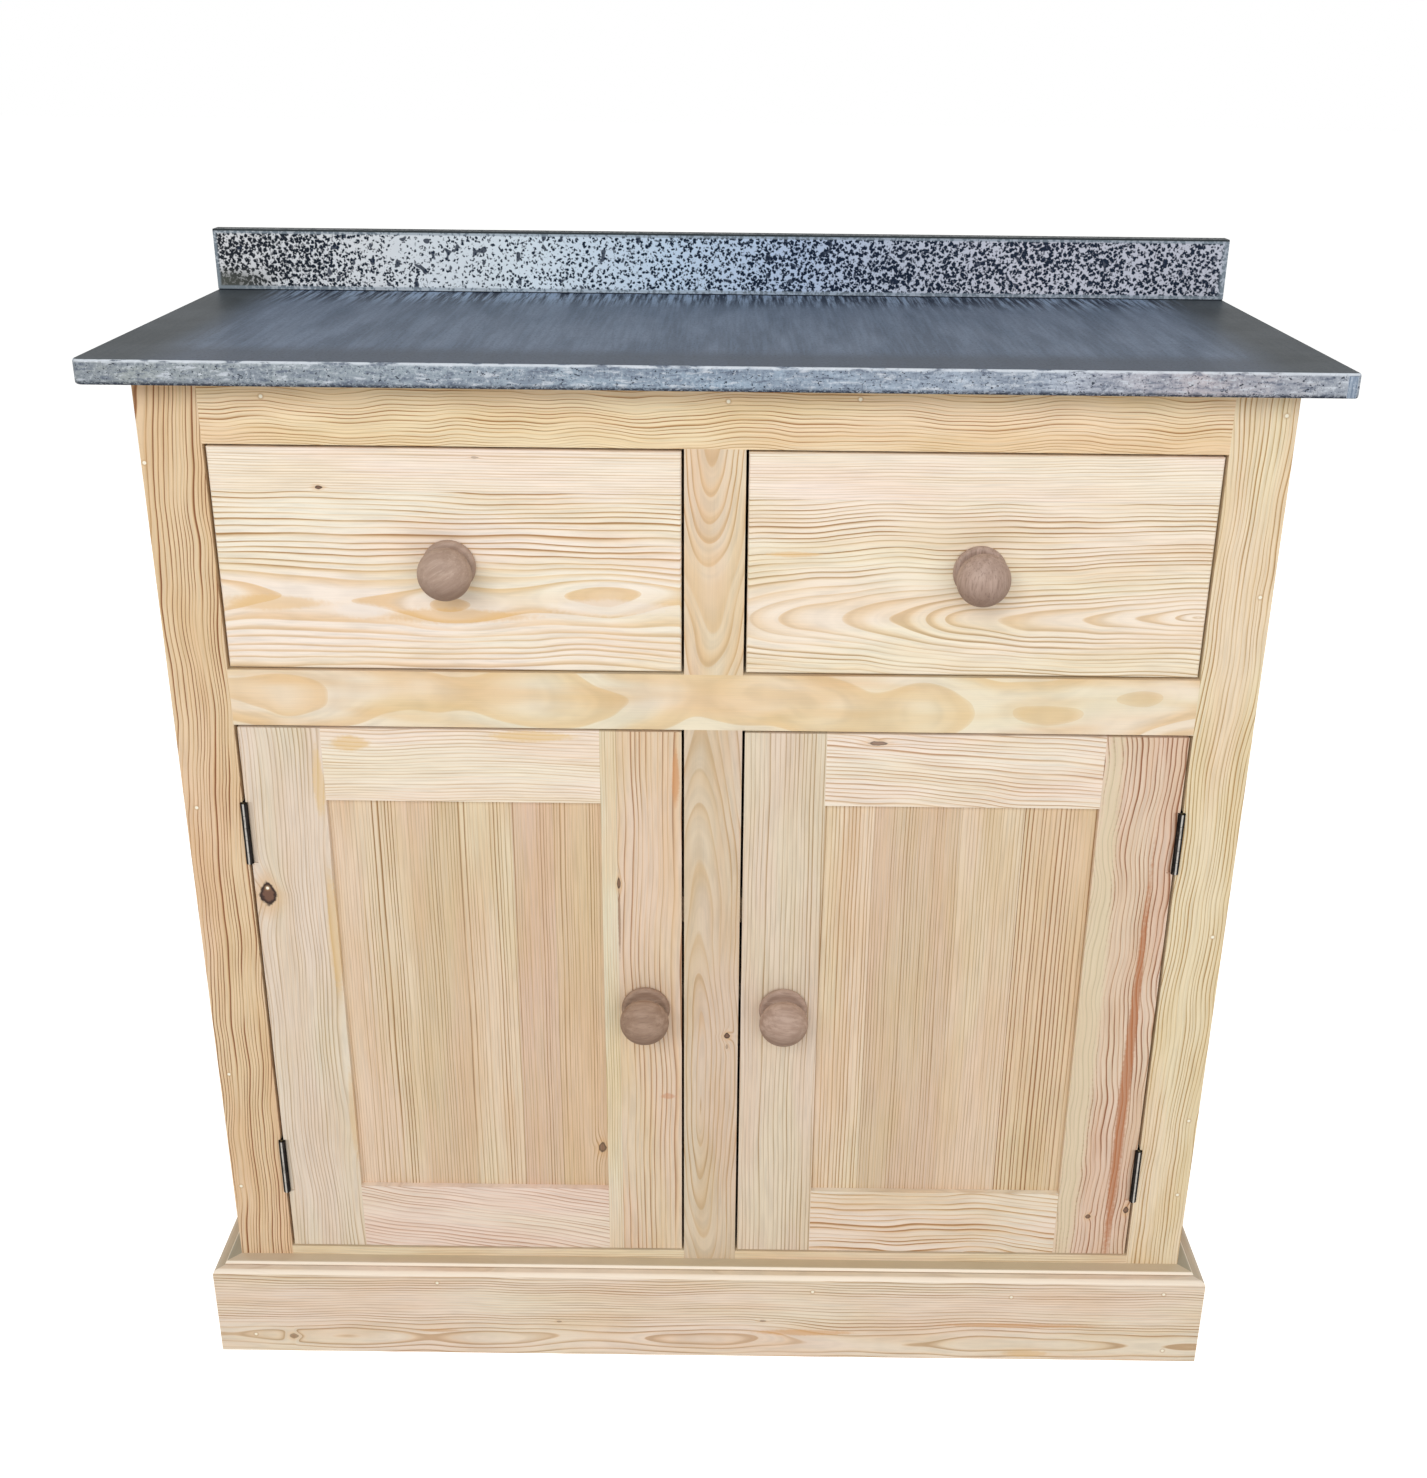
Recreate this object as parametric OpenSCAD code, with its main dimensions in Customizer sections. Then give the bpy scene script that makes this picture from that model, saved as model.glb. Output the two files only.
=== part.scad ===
// Side cupboard: two drawers over two panelled doors, in pine, with a zinc-covered worktop,
// a low upstand behind it and a moulded plinth. The width lies along X and the front faces -Y.
// Origin: the middle of the whole cupboard's outline, on the ground. All sizes in millimetres.

/* [Carcase] */
// Width over the two stiles of the face frame
carcase_w = 1000; // [940:1:1160]
// Depth from the face of the frame to the back edges of the sides
carcase_d = 410; // [400:1:480]
// Height from the ground to the underside of the worktop
carcase_h = 1040.5; // [980:0.5:1140]
// Thickness of the two side panels
side_t = 20; // [16:0.5:24]
// Height of the cupboard floor's top face above the ground
floor_z = 120; // [112:0.5:150]
// Thickness of the cupboard floor
floor_t = 20; // [15:0.5:24]
// Height of the shelf's top face above the cupboard floor
shelf_rise = 305; // [220:1:360]
// Thickness of the shelf
shelf_t = 18; // [15:0.5:22]
// Distance from the back of the face frame to the front edge of the shelf
shelf_setback = 18; // [5:1:80]
// Depth of the housings in the sides that hold the floor and the shelf
housing_d = 6; // [3:0.5:6]
// Thickness of the tongued and grooved back boards
back_t = 10; // [8:0.5:14]
// Width that each back board is cut to, before the boards are evened out
back_board_w = 98; // [70:1:150]
// How far the back boards reach below the cupboard floor
back_drop = 20; // [0:1:50]
// Height and thickness of the flat rails under the drawers
bearer_t = 20; // [16:0.5:24]
// Depth from front to back of the flat rails under the drawers
bearer_w = 50; // [40:1:70]

/* [Face frame] */
// Thickness of the face frame
frame_t = 22; // [20:0.5:26]
// Width of the outer stiles
stile_w = 55; // [50:0.5:65]
// Width of the middle uprights
muntin_w = 54; // [46:0.5:64]
// Height of the rail under the worktop
top_rail_h = 57; // [45:0.5:70]
// Height of the rail between the drawers and the doors
mid_rail_h = 54.5; // [48:0.5:70]
// Height of the rail behind the plinth
bottom_rail_h = 60; // [48:0.5:80]
// Thickness of the tenons of the face frame
tenon_t = 8; // [6:0.5:10]
// Length of the rails' tenons in the stiles
tenon_l = 28; // [15:0.5:32]
// Length of the middle uprights' tenons in the rails
stub_tenon_l = 18; // [8:0.5:21]
// Width of the shoulder at each edge of a tenon
tenon_shoulder = 8; // [5:0.5:12]
// Length of the tongue that joins each side panel to its stile
side_tongue_l = 8; // [4:0.5:10]

/* [Drawers] */
// Height of the drawer openings
drawer_open_h = 208.5; // [160:0.5:250]
// Gap between a drawer front and the frame around it
drawer_gap = 2.5; // [1.5:0.1:4]
// Thickness of the drawer fronts
drawer_front_t = 22; // [20:0.5:26]
// Radius of the eased edges of the drawer fronts
drawer_front_edge_r = 2; // [0.5:0.5:4]
// Space left between the back of a drawer's box and the back boards
drawer_rear_space = 30; // [20:1:90]
// Thickness of the drawer sides
drawer_side_t = 12; // [10:0.5:15]
// Thickness of the drawer backs
drawer_back_t = 12; // [10:0.5:15]
// Thickness of the drawer bottoms
drawer_bottom_t = 6; // [4:0.5:9]
// Height of the drawer bottom above the lower edge of the drawer sides
drawer_bottom_rise = 12; // [11:0.5:14]
// Depth of the grooves that hold the drawer bottom
drawer_groove_d = 5; // [3:0.5:6]
// How far the drawer sides stand below the top of the front
drawer_side_drop = 1.5; // [1:0.5:10]
// How far the drawer back stands below the top of the sides
drawer_back_drop = 13; // [5:0.5:30]
// Wood left in front of the dovetails in the drawer front
dovetail_lap = 7; // [5:0.5:9]
// Number of dovetails at each corner of a drawer
dovetails = 4; // [4:1:5]
// Slope of the sides of a dovetail, in degrees
dovetail_slope = 8; // [5:0.5:10]
// Height of the guide strip beside a drawer
guide_h = 25; // [12:0.5:40]

/* [Doors] */
// Thickness of the doors
door_t = 22; // [20:0.5:24]
// Gap between a door and the frame at its top, bottom and meeting edge
door_gap = 2.5; // [1.5:0.1:4]
// Gap between a door and its stile at the hinges
hinge_gap = 3; // [2.6:0.1:4]
// Width of the door stiles
door_stile_w = 76.5; // [60:0.5:95]
// Height of the top rails of the doors
door_top_rail_h = 73.5; // [60:0.5:100]
// Height of the bottom rails of the doors
door_bottom_rail_h = 76.5; // [60:0.5:110]
// Thickness of the flat panels
panel_t = 9; // [7:0.5:10]
// How far the panel's face lies behind the face of its frame
panel_recess = 6.5; // [5:0.5:7]
// Depth of the grooves that hold the panel
panel_groove_d = 8; // [5:0.5:12]
// Length of the door rails' tenons in the stiles
door_tenon_l = 40; // [20:0.5:50]
// Height of the door catch above the middle of the door
catch_rise = 100; // [40:1:200]

/* [Hinges] */
// Length of the hinges
hinge_l = 63.5; // [50:0.5:76]
// Width of a hinge leaf from the middle of its pin
leaf_w = 19; // [15:0.5:20]
// Thickness of the hinge leaves
leaf_t = 1.5; // [1:0.1:1.6]
// Depth of the housings that the leaves lie in
leaf_recess = 1; // [0.8:0.1:1.5]
// Diameter of the hinge knuckles
barrel_d = 7; // [6:0.1:8]
// Diameter of the hinge pins
pin_d = 3; // [2.5:0.1:3.5]
// Distance of the pin's middle in front of the face frame
hinge_proud = 1; // [0.8:0.1:2]
// Distance from the top of a door to its upper hinge
hinge_from_top = 77; // [50:1:150]
// Distance from the bottom of a door to its lower hinge
hinge_from_bottom = 70; // [50:1:150]
// Width of the hollow in a door's face beside its hinge knuckles
knuckle_hollow_w = 4; // [1:0.5:8]
// Depth of that hollow
knuckle_hollow_d = 2; // [0.5:0.5:4]

/* [Knobs] */
// Diameter of the knobs' round heads
knob_d = 48; // [44:0.5:56]
// Distance that the knobs stand out from the face
knob_out = 47; // [44:0.5:56]
// Thickness of the head from back to front
knob_head_t = 26; // [22:0.5:30]
// Depth of the head's rounded back, behind its widest circle
knob_head_back = 8; // [5:0.5:10]
// Diameter of the foot disc of a knob
knob_foot_d = 48; // [42:0.5:52]
// Thickness of the foot disc of a knob
knob_foot_t = 8; // [6:0.5:10]
// Diameter of the neck between the foot disc and the head
knob_neck_d = 22; // [16:0.5:26]
// Distance of the drawer knobs below the middle of the drawer fronts
drawer_knob_drop = 2.5; // [0:0.5:20]
// Height of the door knobs above the middle of the doors
door_knob_rise = 1.5; // [0:0.5:60]
// Distance of the left door's knob from the meeting edge of the door
left_door_knob_inset = 35.5; // [26:0.5:44]
// Distance of the right door's knob from the meeting edge of the door
right_door_knob_inset = 42; // [26:0.5:44]
// Diameter of the dowel turned on the back of a knob
knob_dowel_d = 12; // [8:0.5:16]
// Length of the dowel turned on the back of a knob
knob_dowel_l = 14; // [8:0.5:17]

/* [Screws] */
// Diameter of the hinge screws
hinge_screw_d = 3; // [2:0.5:3.5]
// Length of the hinge screws
hinge_screw_l = 16; // [10:1:20]
// Diameter of the screws in the worktop and the upstand
worktop_screw_d = 4; // [3:0.5:5]
// Length of the screws up into the worktop
worktop_screw_l = 32; // [25:1:35]
// How far those screws reach into the worktop
worktop_screw_hold = 12; // [6:0.5:15]
// Length of the screws up into the upstand
upstand_screw_l = 50; // [36:1:55]

/* [Worktop] */
// Thickness of the board inside the worktop
worktop_t = 20; // [16:0.5:30]
// Thickness of the zinc sheet
zinc_t = 0.8; // [0.6:0.1:1.2]
// How far the worktop overhangs the front and the two sides
overhang = 36; // [30:0.5:42]
// Radius of the worktop's front corner on the left, in plan
corner_r_left = 8; // [5:0.5:16]
// Radius of the worktop's front corner on the right, in plan
corner_r_right = 3; // [2.8:0.1:16]
// Outer radius of the bends in the zinc
bend_r = 2.5; // [1.6:0.1:2.7]
// Width of the zinc folded under the edges of the worktop
zinc_lip = 24; // [10:0.5:28]
// Height of the upstand above the worktop
upstand_h = 62; // [40:0.5:120]
// Thickness of the board inside the upstand
upstand_t = 20; // [14:0.5:26]
// How far each end of the upstand lies inside the end of the worktop
upstand_inset = 2; // [0:0.5:20]
// Width of the dark joint under the upstand's zinc
upstand_joint = 1; // [0.3:0.1:2]

/* [Plinth] */
// Height of the plinth where it meets the carcase
plinth_h = 109.8; // [90:0.1:111]
// How far the plinth stands out from the carcase
plinth_out = 25; // [22:0.5:32]
// Width of the flat top of the plinth
plinth_flat = 11; // [6:0.5:12]
// Radius of the upper round of the moulding
plinth_small_r = 3.2; // [2:0.1:4]
// Height of the small step between the two rounds
plinth_step = 0.8; // [0.4:0.1:2]
// Radius of the lower round of the moulding
plinth_large_r = 5.3; // [4:0.1:6]

/* [Hidden] */
$fn = 96;
// Clearance of a glued or sliding wood joint
fit = 0.1;
// Clearance beside and above what slides or swings
run_gap = 0.3;
// Clearance between a drawer side and its guide
guide_gap = 1;
// Radial clearance of a hinge pin in its knuckles
pin_fit = 0.05;
// Clearance between neighbouring knuckles
knuckle_gap = 0.3;
// Overlap of a cutting shape past the face that it cuts
past = 1;

// Places along X, measured from the middle
half_w = carcase_w / 2;
open_x = half_w - stile_w;
inner_x = half_w - side_t;
mid_x = muntin_w / 2;
top_x = half_w + overhang;
hinge_x = open_x - hinge_gap / 2;

// Places along Y, measured back from the face of the frame
face_y = (max(knob_out, overhang) - carcase_d) / 2;
back_y = carcase_d - back_t;
drawer_l = back_y - drawer_rear_space;
rail_t = 20;
runner_y = [frame_t + bearer_w, back_y - bearer_w];

// Places along Z
top_rail_z = carcase_h - top_rail_h;
drawer_z = top_rail_z - drawer_open_h;
door_top_z = drawer_z - mid_rail_h;
worktop_z = carcase_h + worktop_t + zinc_t;
bottom_rail_z = floor_z - bottom_rail_h;
shelf_z = floor_z + shelf_rise;

// One drawer, on the right of the middle
drawer_x = [mid_x + drawer_gap, open_x - drawer_gap];
drawer_front_z = [drawer_z + drawer_gap, top_rail_z - drawer_gap];
drawer_side_z = [drawer_z + run_gap, drawer_front_z[1] - drawer_side_drop];
drawer_bottom_z = drawer_side_z[0] + drawer_bottom_rise;
drawer_back_z = [drawer_bottom_z + drawer_bottom_t, drawer_side_z[1] - drawer_back_drop];
tail_share = 0.76;
runner_ledge = 8;
runner_reach = drawer_side_t + runner_ledge;
stop_w = 40;
stop_d = 12;
stop_h = 7;

// One door, on the right of the middle
door_x = [mid_x + door_gap, open_x - hinge_gap];
door_z = [floor_z + door_gap, door_top_z - door_gap];
door_mid_z = (door_z[0] + door_z[1]) / 2;
door_knob_z = door_mid_z + door_knob_rise;
panel_x = [door_x[0] + door_stile_w, door_x[1] - door_stile_w];
panel_z = [door_z[0] + door_bottom_rail_h, door_z[1] - door_top_rail_h];
panel_y = [panel_recess, panel_recess + panel_t];
door_tenon_shoulder = 15;
catch_z = door_mid_z + catch_rise;
catch_d = 14;
catch_plate_t = 1.5;
magnet_t = 4;
catch_inset = 12;
catch_margin = 7;
catch_side_margin = 3;
stop_reach = door_x[0] + catch_inset + catch_d / 2 + catch_side_margin;
stop_half_h = catch_d / 2 + catch_margin;

// Hinges
barrel_r = barrel_d / 2;
knuckles = 5;
knuckle_l = hinge_l / knuckles;
hinge_zs = [door_z[0] + hinge_from_bottom, door_z[1] - hinge_from_top - hinge_l];
leaf_screw_zs = [for (i = [1, 3, 5]) i * hinge_l / 6];

// Worktop and upstand
counterbore_d = 2 * worktop_screw_d + 1.5;
upstand_x = top_x - upstand_inset;
upstand_y = carcase_d - zinc_t - upstand_t / 2;
under_screw_ys = [for (i = [1, 3, 5]) frame_t + i * (back_y - rail_t - frame_t) / 6];
upstand_screw_xs = [for (i = [-3, -1, 1, 3]) i * upstand_x / 4];

PINE = "burlywood";
PALE_PINE = "wheat";
BACK_PINE = "tan";
TURNED_OAK = "rosybrown";
ZINC = "slategray";
STEEL = "dimgray";
SCREW = "silver";

// Shared shapes

// Everything is drawn with the face of the frame at Y = 0 and then set back to its place.
module placed() translate([0, face_y, 0]) children();

// Pieces of one side are drawn on the right, where X is positive, and mirrored for the left.
module on_side(side) placed() mirror([side < 0 ? 1 : 0, 0, 0]) children();

// A block between two places on each axis
module block(x, y, z) {
    translate([x[0], y[0], z[0]]) cube([x[1] - x[0], y[1] - y[0], z[1] - z[0]]);
}

// A block of the same size on both sides of the middle
module block_across(x, y, z) block([-x, x], y, z);

// A countersunk screw up along Z from its head's face, its head twice as wide as its shank.
// With a clearance it is the hole for that screw.
module screw(d, l, clear = 0) {
    shank_r = d / 2 + clear;
    head_r = d + clear;
    rotate_extrude() polygon([
        [0, 0], [head_r, 0], [shank_r, d / 2], [shank_r, l - d / 2], [0, l + clear]
    ]);
    if (clear > 0) translate([0, 0, -past]) cylinder(r = head_r, h = past);
}

// A board whose four front edges are rounded: width along X, thickness back along Y, height along Z
module eased_board(x, t, z, r) {
    intersection() {
        translate([x[0], 0, z[0]]) linear_extrude(z[1] - z[0]) eased_section(x[1] - x[0], t, r);
        translate([x[0], 0, z[1]]) rotate([0, 90, 0]) linear_extrude(x[1] - x[0])
            eased_section(z[1] - z[0], t, r);
    }
}

module eased_section(w, t, r) {
    translate([0, r]) square([w, t - r]);
    translate([r, 0]) square([w - 2 * r, t]);
    for (x = [r, w - r]) translate([x, r]) circle(r);
}

// Face frame

// A rail between the stiles with a tenon at each end
module framed_rail(z0, z1) {
    block_across(open_x, [0, frame_t], [z0, z1]);
    rail_tenons(z0, z1, tenon_l, 0);
}

// The tenons of a rail, or with a clearance the mortises for them
module rail_tenons(z0, z1, l, clear) {
    block_across(open_x + l, frame_middle(tenon_t / 2 + clear),
        [z0 + tenon_shoulder - clear, z1 - tenon_shoulder + clear]);
}

function frame_middle(half_t) = [frame_t / 2 - half_t, frame_t / 2 + half_t];

// The tenon on the end of a middle upright, or with a clearance its mortise
module muntin_tenon(z0, z1, clear) {
    block_across(mid_x - tenon_shoulder + clear, frame_middle(tenon_t / 2 + clear), [z0, z1]);
}

module top_rail() color(PINE) placed() difference() {
    framed_rail(top_rail_z, carcase_h);
    muntin_tenon(top_rail_z - past, top_rail_z + stub_tenon_l + fit, fit);
}

module mid_rail() color(PALE_PINE) placed() difference() {
    framed_rail(door_top_z, drawer_z);
    muntin_tenon(drawer_z - stub_tenon_l - fit, drawer_z + past, fit);
    muntin_tenon(door_top_z - past, door_top_z + stub_tenon_l + fit, fit);
}

// The rail behind the plinth, halved where the lower muntin laps over it
module bottom_rail() color(PINE) placed() difference() {
    framed_rail(bottom_rail_z, floor_z);
    block_across(mid_x + fit, [-past, frame_t / 2 + fit], [bottom_rail_z - past, floor_z + past]);
}

module upper_muntin() color(PINE) placed() {
    block_across(mid_x, [0, frame_t], [drawer_z, top_rail_z]);
    muntin_tenon(drawer_z - stub_tenon_l, top_rail_z + stub_tenon_l, 0);
}

module lower_muntin() color(PINE) placed() {
    block_across(mid_x, [0, frame_t], [floor_z, door_top_z]);
    block_across(mid_x, [0, frame_t / 2], [bottom_rail_z, floor_z]);
    muntin_tenon(floor_z, door_top_z + stub_tenon_l, 0);
}

module stile(side) color(PINE) on_side(side) difference() {
    block([open_x, half_w], [0, frame_t], [0, carcase_h]);
    rail_tenons(top_rail_z, carcase_h, tenon_l + fit, fit);
    rail_tenons(door_top_z, drawer_z, tenon_l + fit, fit);
    rail_tenons(bottom_rail_z, floor_z, tenon_l + fit, fit);
    side_tongue(fit);
    for (z = hinge_zs) translate([hinge_x, -hinge_proud, z]) {
        leaf_housing();
        leaf_screws(fit);
    }
}

// Carcase

// The tongue on the front edge of a side panel, or with a clearance its groove in the stile
module side_tongue(clear) {
    middle = half_w - side_t / 2;
    half_t = side_t / 6 + clear;
    block([middle - half_t, middle + half_t], [frame_t - side_tongue_l - clear, frame_t + past],
        [clear > 0 ? -past : 0, carcase_h + (clear > 0 ? past : 0)]);
}

module side_panel(side) color(PINE) on_side(side) difference() {
    union() {
        block([inner_x, half_w], [frame_t, carcase_d], [0, carcase_h]);
        side_tongue(0);
    }
    block([inner_x - past, inner_x + side_t / 2], [back_y, carcase_d + past],
        [back_bottom_z() - fit, carcase_h + past]);
    block([inner_x - past, inner_x + housing_d + fit], [frame_t - past, back_y + past],
        [floor_z - floor_t, floor_z]);
    block([inner_x - past, inner_x + housing_d + fit], [frame_t + shelf_setback - fit, back_y + past],
        [shelf_z - shelf_t, shelf_z]);
}

function back_bottom_z() = floor_z - floor_t - back_drop;

module base_board() color(PINE) placed()
    block_across(inner_x + housing_d, [frame_t, back_y], [floor_z - floor_t, floor_z]);

module shelf() color(PINE) placed()
    block_across(inner_x + housing_d, [frame_t + shelf_setback, back_y], [shelf_z - shelf_t, shelf_z]);

// Back boards: each has a tongue on one edge, a groove on the other and a V at each joint
module back_boards() {
    reach = inner_x + side_t / 2 - fit;
    count = round(2 * reach / back_board_w);
    pitch = 2 * reach / count;
    color(BACK_PINE) placed() for (i = [0 : count - 1])
        translate([i * pitch - reach, back_y, back_bottom_z()]) linear_extrude(carcase_h - back_bottom_z())
            back_board_section(pitch, i > 0, i < count - 1);
}

module back_board_section(pitch, grooved, tongued) {
    vee = back_t / 5;
    tongue_t = back_t / 3;
    tongue_l = back_t / 2;
    width = pitch - (tongued ? run_gap : 0);
    difference() {
        union() {
            square([width, back_t]);
            if (tongued) translate([0, tongue_t + fit]) square([width + tongue_l, tongue_t - 2 * fit]);
        }
        if (grooved) translate([-past, tongue_t]) square([tongue_l + fit + past, tongue_t]);
        if (grooved) translate([0, back_t]) rotate(45) square(vee * sqrt(2), center = true);
        if (tongued) translate([width, back_t]) rotate(45) square(vee * sqrt(2), center = true);
    }
}

module top_rear_rail() color(BACK_PINE) placed()
    block_across(inner_x, [back_y - rail_t, back_y], [top_rail_z, carcase_h]);

// Drawer carriage

module drawer_bearer() color(BACK_PINE) placed()
    block_across(inner_x, [frame_t, frame_t + bearer_w], [drawer_z - bearer_t, drawer_z]);

module mid_rear_rail() color(BACK_PINE) placed()
    block_across(inner_x, [back_y - bearer_w, back_y], [drawer_z - bearer_t, drawer_z]);

// Runners rebated from the solid, so that each has its own guide strip
module drawer_runners() color(BACK_PINE) {
    for (side = [-1, 1]) on_side(side) {
        block([drawer_x[1] - runner_reach, inner_x], runner_y, [drawer_z - bearer_t, drawer_z]);
        block([drawer_x[1] + guide_gap, inner_x], runner_y, [drawer_z - past, drawer_z + guide_h]);
    }
    placed() {
        block_across(drawer_x[0] + runner_reach, runner_y, [drawer_z - bearer_t, drawer_z]);
        block_across(drawer_x[0] - guide_gap, runner_y, [drawer_z - past, drawer_z + guide_h]);
    }
}

// Kickers keep an open drawer level, and the worktop is screwed down through their webs
module drawer_kickers() color(BACK_PINE) difference() {
    union() {
        for (side = [-1, 1]) on_side(side) {
            block([drawer_x[1] - runner_reach, inner_x], kicker_y(), [top_rail_z, top_rail_z + rail_t]);
            block([inner_x - rail_t, inner_x], kicker_y(), [top_rail_z, carcase_h]);
        }
        placed() block_across(drawer_x[0] + runner_reach, kicker_y(), [top_rail_z, top_rail_z + rail_t]);
        placed() block_across(rail_t / 2, kicker_y(), [top_rail_z, carcase_h]);
    }
    under_screws(fit);
    placed() for (x = under_screw_xs(), y = under_screw_ys)
        translate([x, y, top_rail_z - past])
            cylinder(d = counterbore_d, h = under_screw_z() - top_rail_z + past);
}

function kicker_y() = [frame_t, back_y - rail_t];
function under_screw_xs() = [-inner_x + rail_t / 2, 0, inner_x - rail_t / 2];
function under_screw_z() = carcase_h + worktop_screw_hold - worktop_screw_l;

// Small blocks that a closed drawer front meets
module drawer_stops() color(PALE_PINE) for (side = [-1, 1]) on_side(side)
    for (share = [0.25, 0.75]) {
        middle = drawer_x[0] + share * (drawer_x[1] - drawer_x[0]);
        block([middle - stop_w / 2, middle + stop_w / 2],
            [drawer_front_t + run_gap, drawer_front_t + run_gap + stop_d],
            [drawer_z, drawer_z + stop_h]);
    }

// Drawers

// The dovetails of one corner in side view, from their tips to the board that they grow from
module dovetail_row(tip_y, root_y, z, clear) {
    pitch = (z[1] - z[0]) / dovetails;
    root = pitch * tail_share / 2 + clear;
    tip = root + abs(tip_y - root_y) * tan(dovetail_slope);
    out = tip_y < root_y ? -1 : 1;
    for (i = [0 : dovetails - 1]) translate([0, z[0] + (i + 0.5) * pitch]) polygon([
        [root_y - out * past, -root], [root_y, -root], [tip_y + out * clear, -tip],
        [tip_y + out * clear, tip], [root_y, root], [root_y - out * past, root]
    ]);
}

function front_tail_z() = [drawer_front_z[0], drawer_side_z[1]];

// Turns a side view, drawn with the depth to the right and the height up, into a board along X
module side_view(x) translate([x[0], 0, 0]) rotate([90, 0, 90]) linear_extrude(x[1] - x[0]) children();

module drawer_front(side) color(PALE_PINE) on_side(side) difference() {
    eased_board(drawer_x, drawer_front_t, drawer_front_z, drawer_front_edge_r);
    for (x = drawer_socket_xs()) side_view(x)
        dovetail_row(dovetail_lap, drawer_front_t, front_tail_z(), fit);
    drawer_bottom_panel(fit);
    translate([drawer_mid_x(), 0, drawer_knob_z()]) knob_dowel(fit);
}

function drawer_mid_x() = (drawer_x[0] + drawer_x[1]) / 2;
function drawer_knob_z() = (drawer_front_z[0] + drawer_front_z[1]) / 2 - drawer_knob_drop;

// The stretches along X that the sockets of a front or a back take at its two ends
function drawer_socket_xs() = [
    [drawer_x[0] - past, drawer_x[0] + drawer_side_t + fit],
    [drawer_x[1] - drawer_side_t - fit, drawer_x[1] + past]
];

// A side has half-blind dovetails at the front and through dovetails at the back
module drawer_side(x) difference() {
    union() {
        side_view(x) drawer_side_view();
        side_view(x) dovetail_row(dovetail_lap, drawer_front_t, front_tail_z(), 0);
        side_view(x) dovetail_row(drawer_l, drawer_l - drawer_back_t, drawer_back_z, 0);
    }
    drawer_bottom_panel(fit);
}

module drawer_side_view() {
    box_l = drawer_l - drawer_front_t;
    translate([drawer_front_t, drawer_side_z[0]])
        square([box_l - drawer_back_t, drawer_side_z[1] - drawer_side_z[0]]);
    translate([drawer_front_t, drawer_side_z[0]])
        square([box_l, drawer_back_z[0] - drawer_side_z[0] - fit]);
    translate([drawer_front_t, drawer_back_z[1] + fit])
        square([box_l, drawer_side_z[1] - drawer_back_z[1] - fit]);
}

module drawer_outer_side(side) color(PALE_PINE) on_side(side)
    drawer_side([drawer_x[1] - drawer_side_t, drawer_x[1]]);

module drawer_inner_side(side) color(PALE_PINE) on_side(side)
    drawer_side([drawer_x[0], drawer_x[0] + drawer_side_t]);

module drawer_back(side) color(PALE_PINE) on_side(side) difference() {
    block(drawer_x, [drawer_l - drawer_back_t, drawer_l], drawer_back_z);
    for (x = drawer_socket_xs()) side_view(x)
        dovetail_row(drawer_l + past, drawer_l - drawer_back_t, drawer_back_z, fit);
}

// The bottom slides in from the back, or with a clearance it is the groove for it
module drawer_bottom_panel(clear) {
    reach = drawer_side_t - drawer_groove_d - clear + fit;
    block([drawer_x[0] + reach, drawer_x[1] - reach],
        [drawer_front_t - drawer_groove_d - clear + fit, drawer_l + (clear > 0 ? past : 0)],
        [drawer_bottom_z - clear, drawer_bottom_z + drawer_bottom_t + (clear > 0 ? clear : -fit)]);
}

module drawer_bottom(side) color(BACK_PINE) on_side(side) drawer_bottom_panel(0);

// Doors

// The groove that holds the panel, cut round the inside of a door frame
module panel_groove() {
    block([panel_x[0] - panel_groove_d, panel_x[1] + panel_groove_d], [panel_y[0] - fit, panel_y[1] + fit],
        [panel_z[0] - panel_groove_d, panel_z[1] + panel_groove_d]);
}

// The tenons of a door rail with their haunches, or with a clearance the mortises for them
module door_tenons(z, haunch_z, clear) {
    block([panel_x[0] - door_tenon_l - clear, panel_x[1] + door_tenon_l + clear],
        [panel_y[0] - clear, panel_y[1] + clear], [z[0] - clear, z[1] + clear]);
    block([panel_x[0] - panel_groove_d - clear + fit, panel_x[1] + panel_groove_d + clear - fit],
        [panel_y[0] - clear, panel_y[1] + clear], [haunch_z[0] - clear, haunch_z[1] + clear]);
}

module top_door_tenons(clear) {
    z = [panel_z[1] + panel_groove_d + fit, door_z[1]];
    door_tenons([z[0], z[1] - door_tenon_shoulder], z, clear);
}

module bottom_door_tenons(clear) {
    z = [door_z[0], panel_z[0] - panel_groove_d - fit];
    door_tenons([z[0] + door_tenon_shoulder, z[1]], z, clear);
}

module door_stile(x) difference() {
    block(x, [0, door_t], door_z);
    panel_groove();
    top_door_tenons(fit);
    bottom_door_tenons(fit);
}

module door_hinge_stile(side) color(PALE_PINE) on_side(side) difference() {
    door_stile([door_x[1] - door_stile_w, door_x[1]]);
    for (z = hinge_zs) translate([hinge_x, -hinge_proud, z]) mirror([1, 0, 0]) {
        leaf_housing();
        leaf_screws(fit);
        block([0, barrel_r + knuckle_hollow_w], [0, hinge_proud + knuckle_hollow_d],
            [-run_gap, hinge_l + run_gap]);
    }
}

module door_meeting_stile(side) color(PALE_PINE) on_side(side) difference() {
    door_stile([door_x[0], door_x[0] + door_stile_w]);
    translate([door_knob_x(side), 0, door_knob_z]) knob_dowel(fit);
    catch_disc([door_t - catch_plate_t - fit, door_t + past], fit);
}

module door_top_rail(side) color(PALE_PINE) on_side(side) difference() {
    union() {
        block(panel_x, [0, door_t], [panel_z[1], door_z[1]]);
        top_door_tenons(0);
    }
    panel_groove();
}

module door_bottom_rail(side) color(PALE_PINE) on_side(side) difference() {
    union() {
        block(panel_x, [0, door_t], [door_z[0], panel_z[0]]);
        bottom_door_tenons(0);
    }
    panel_groove();
}

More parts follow.
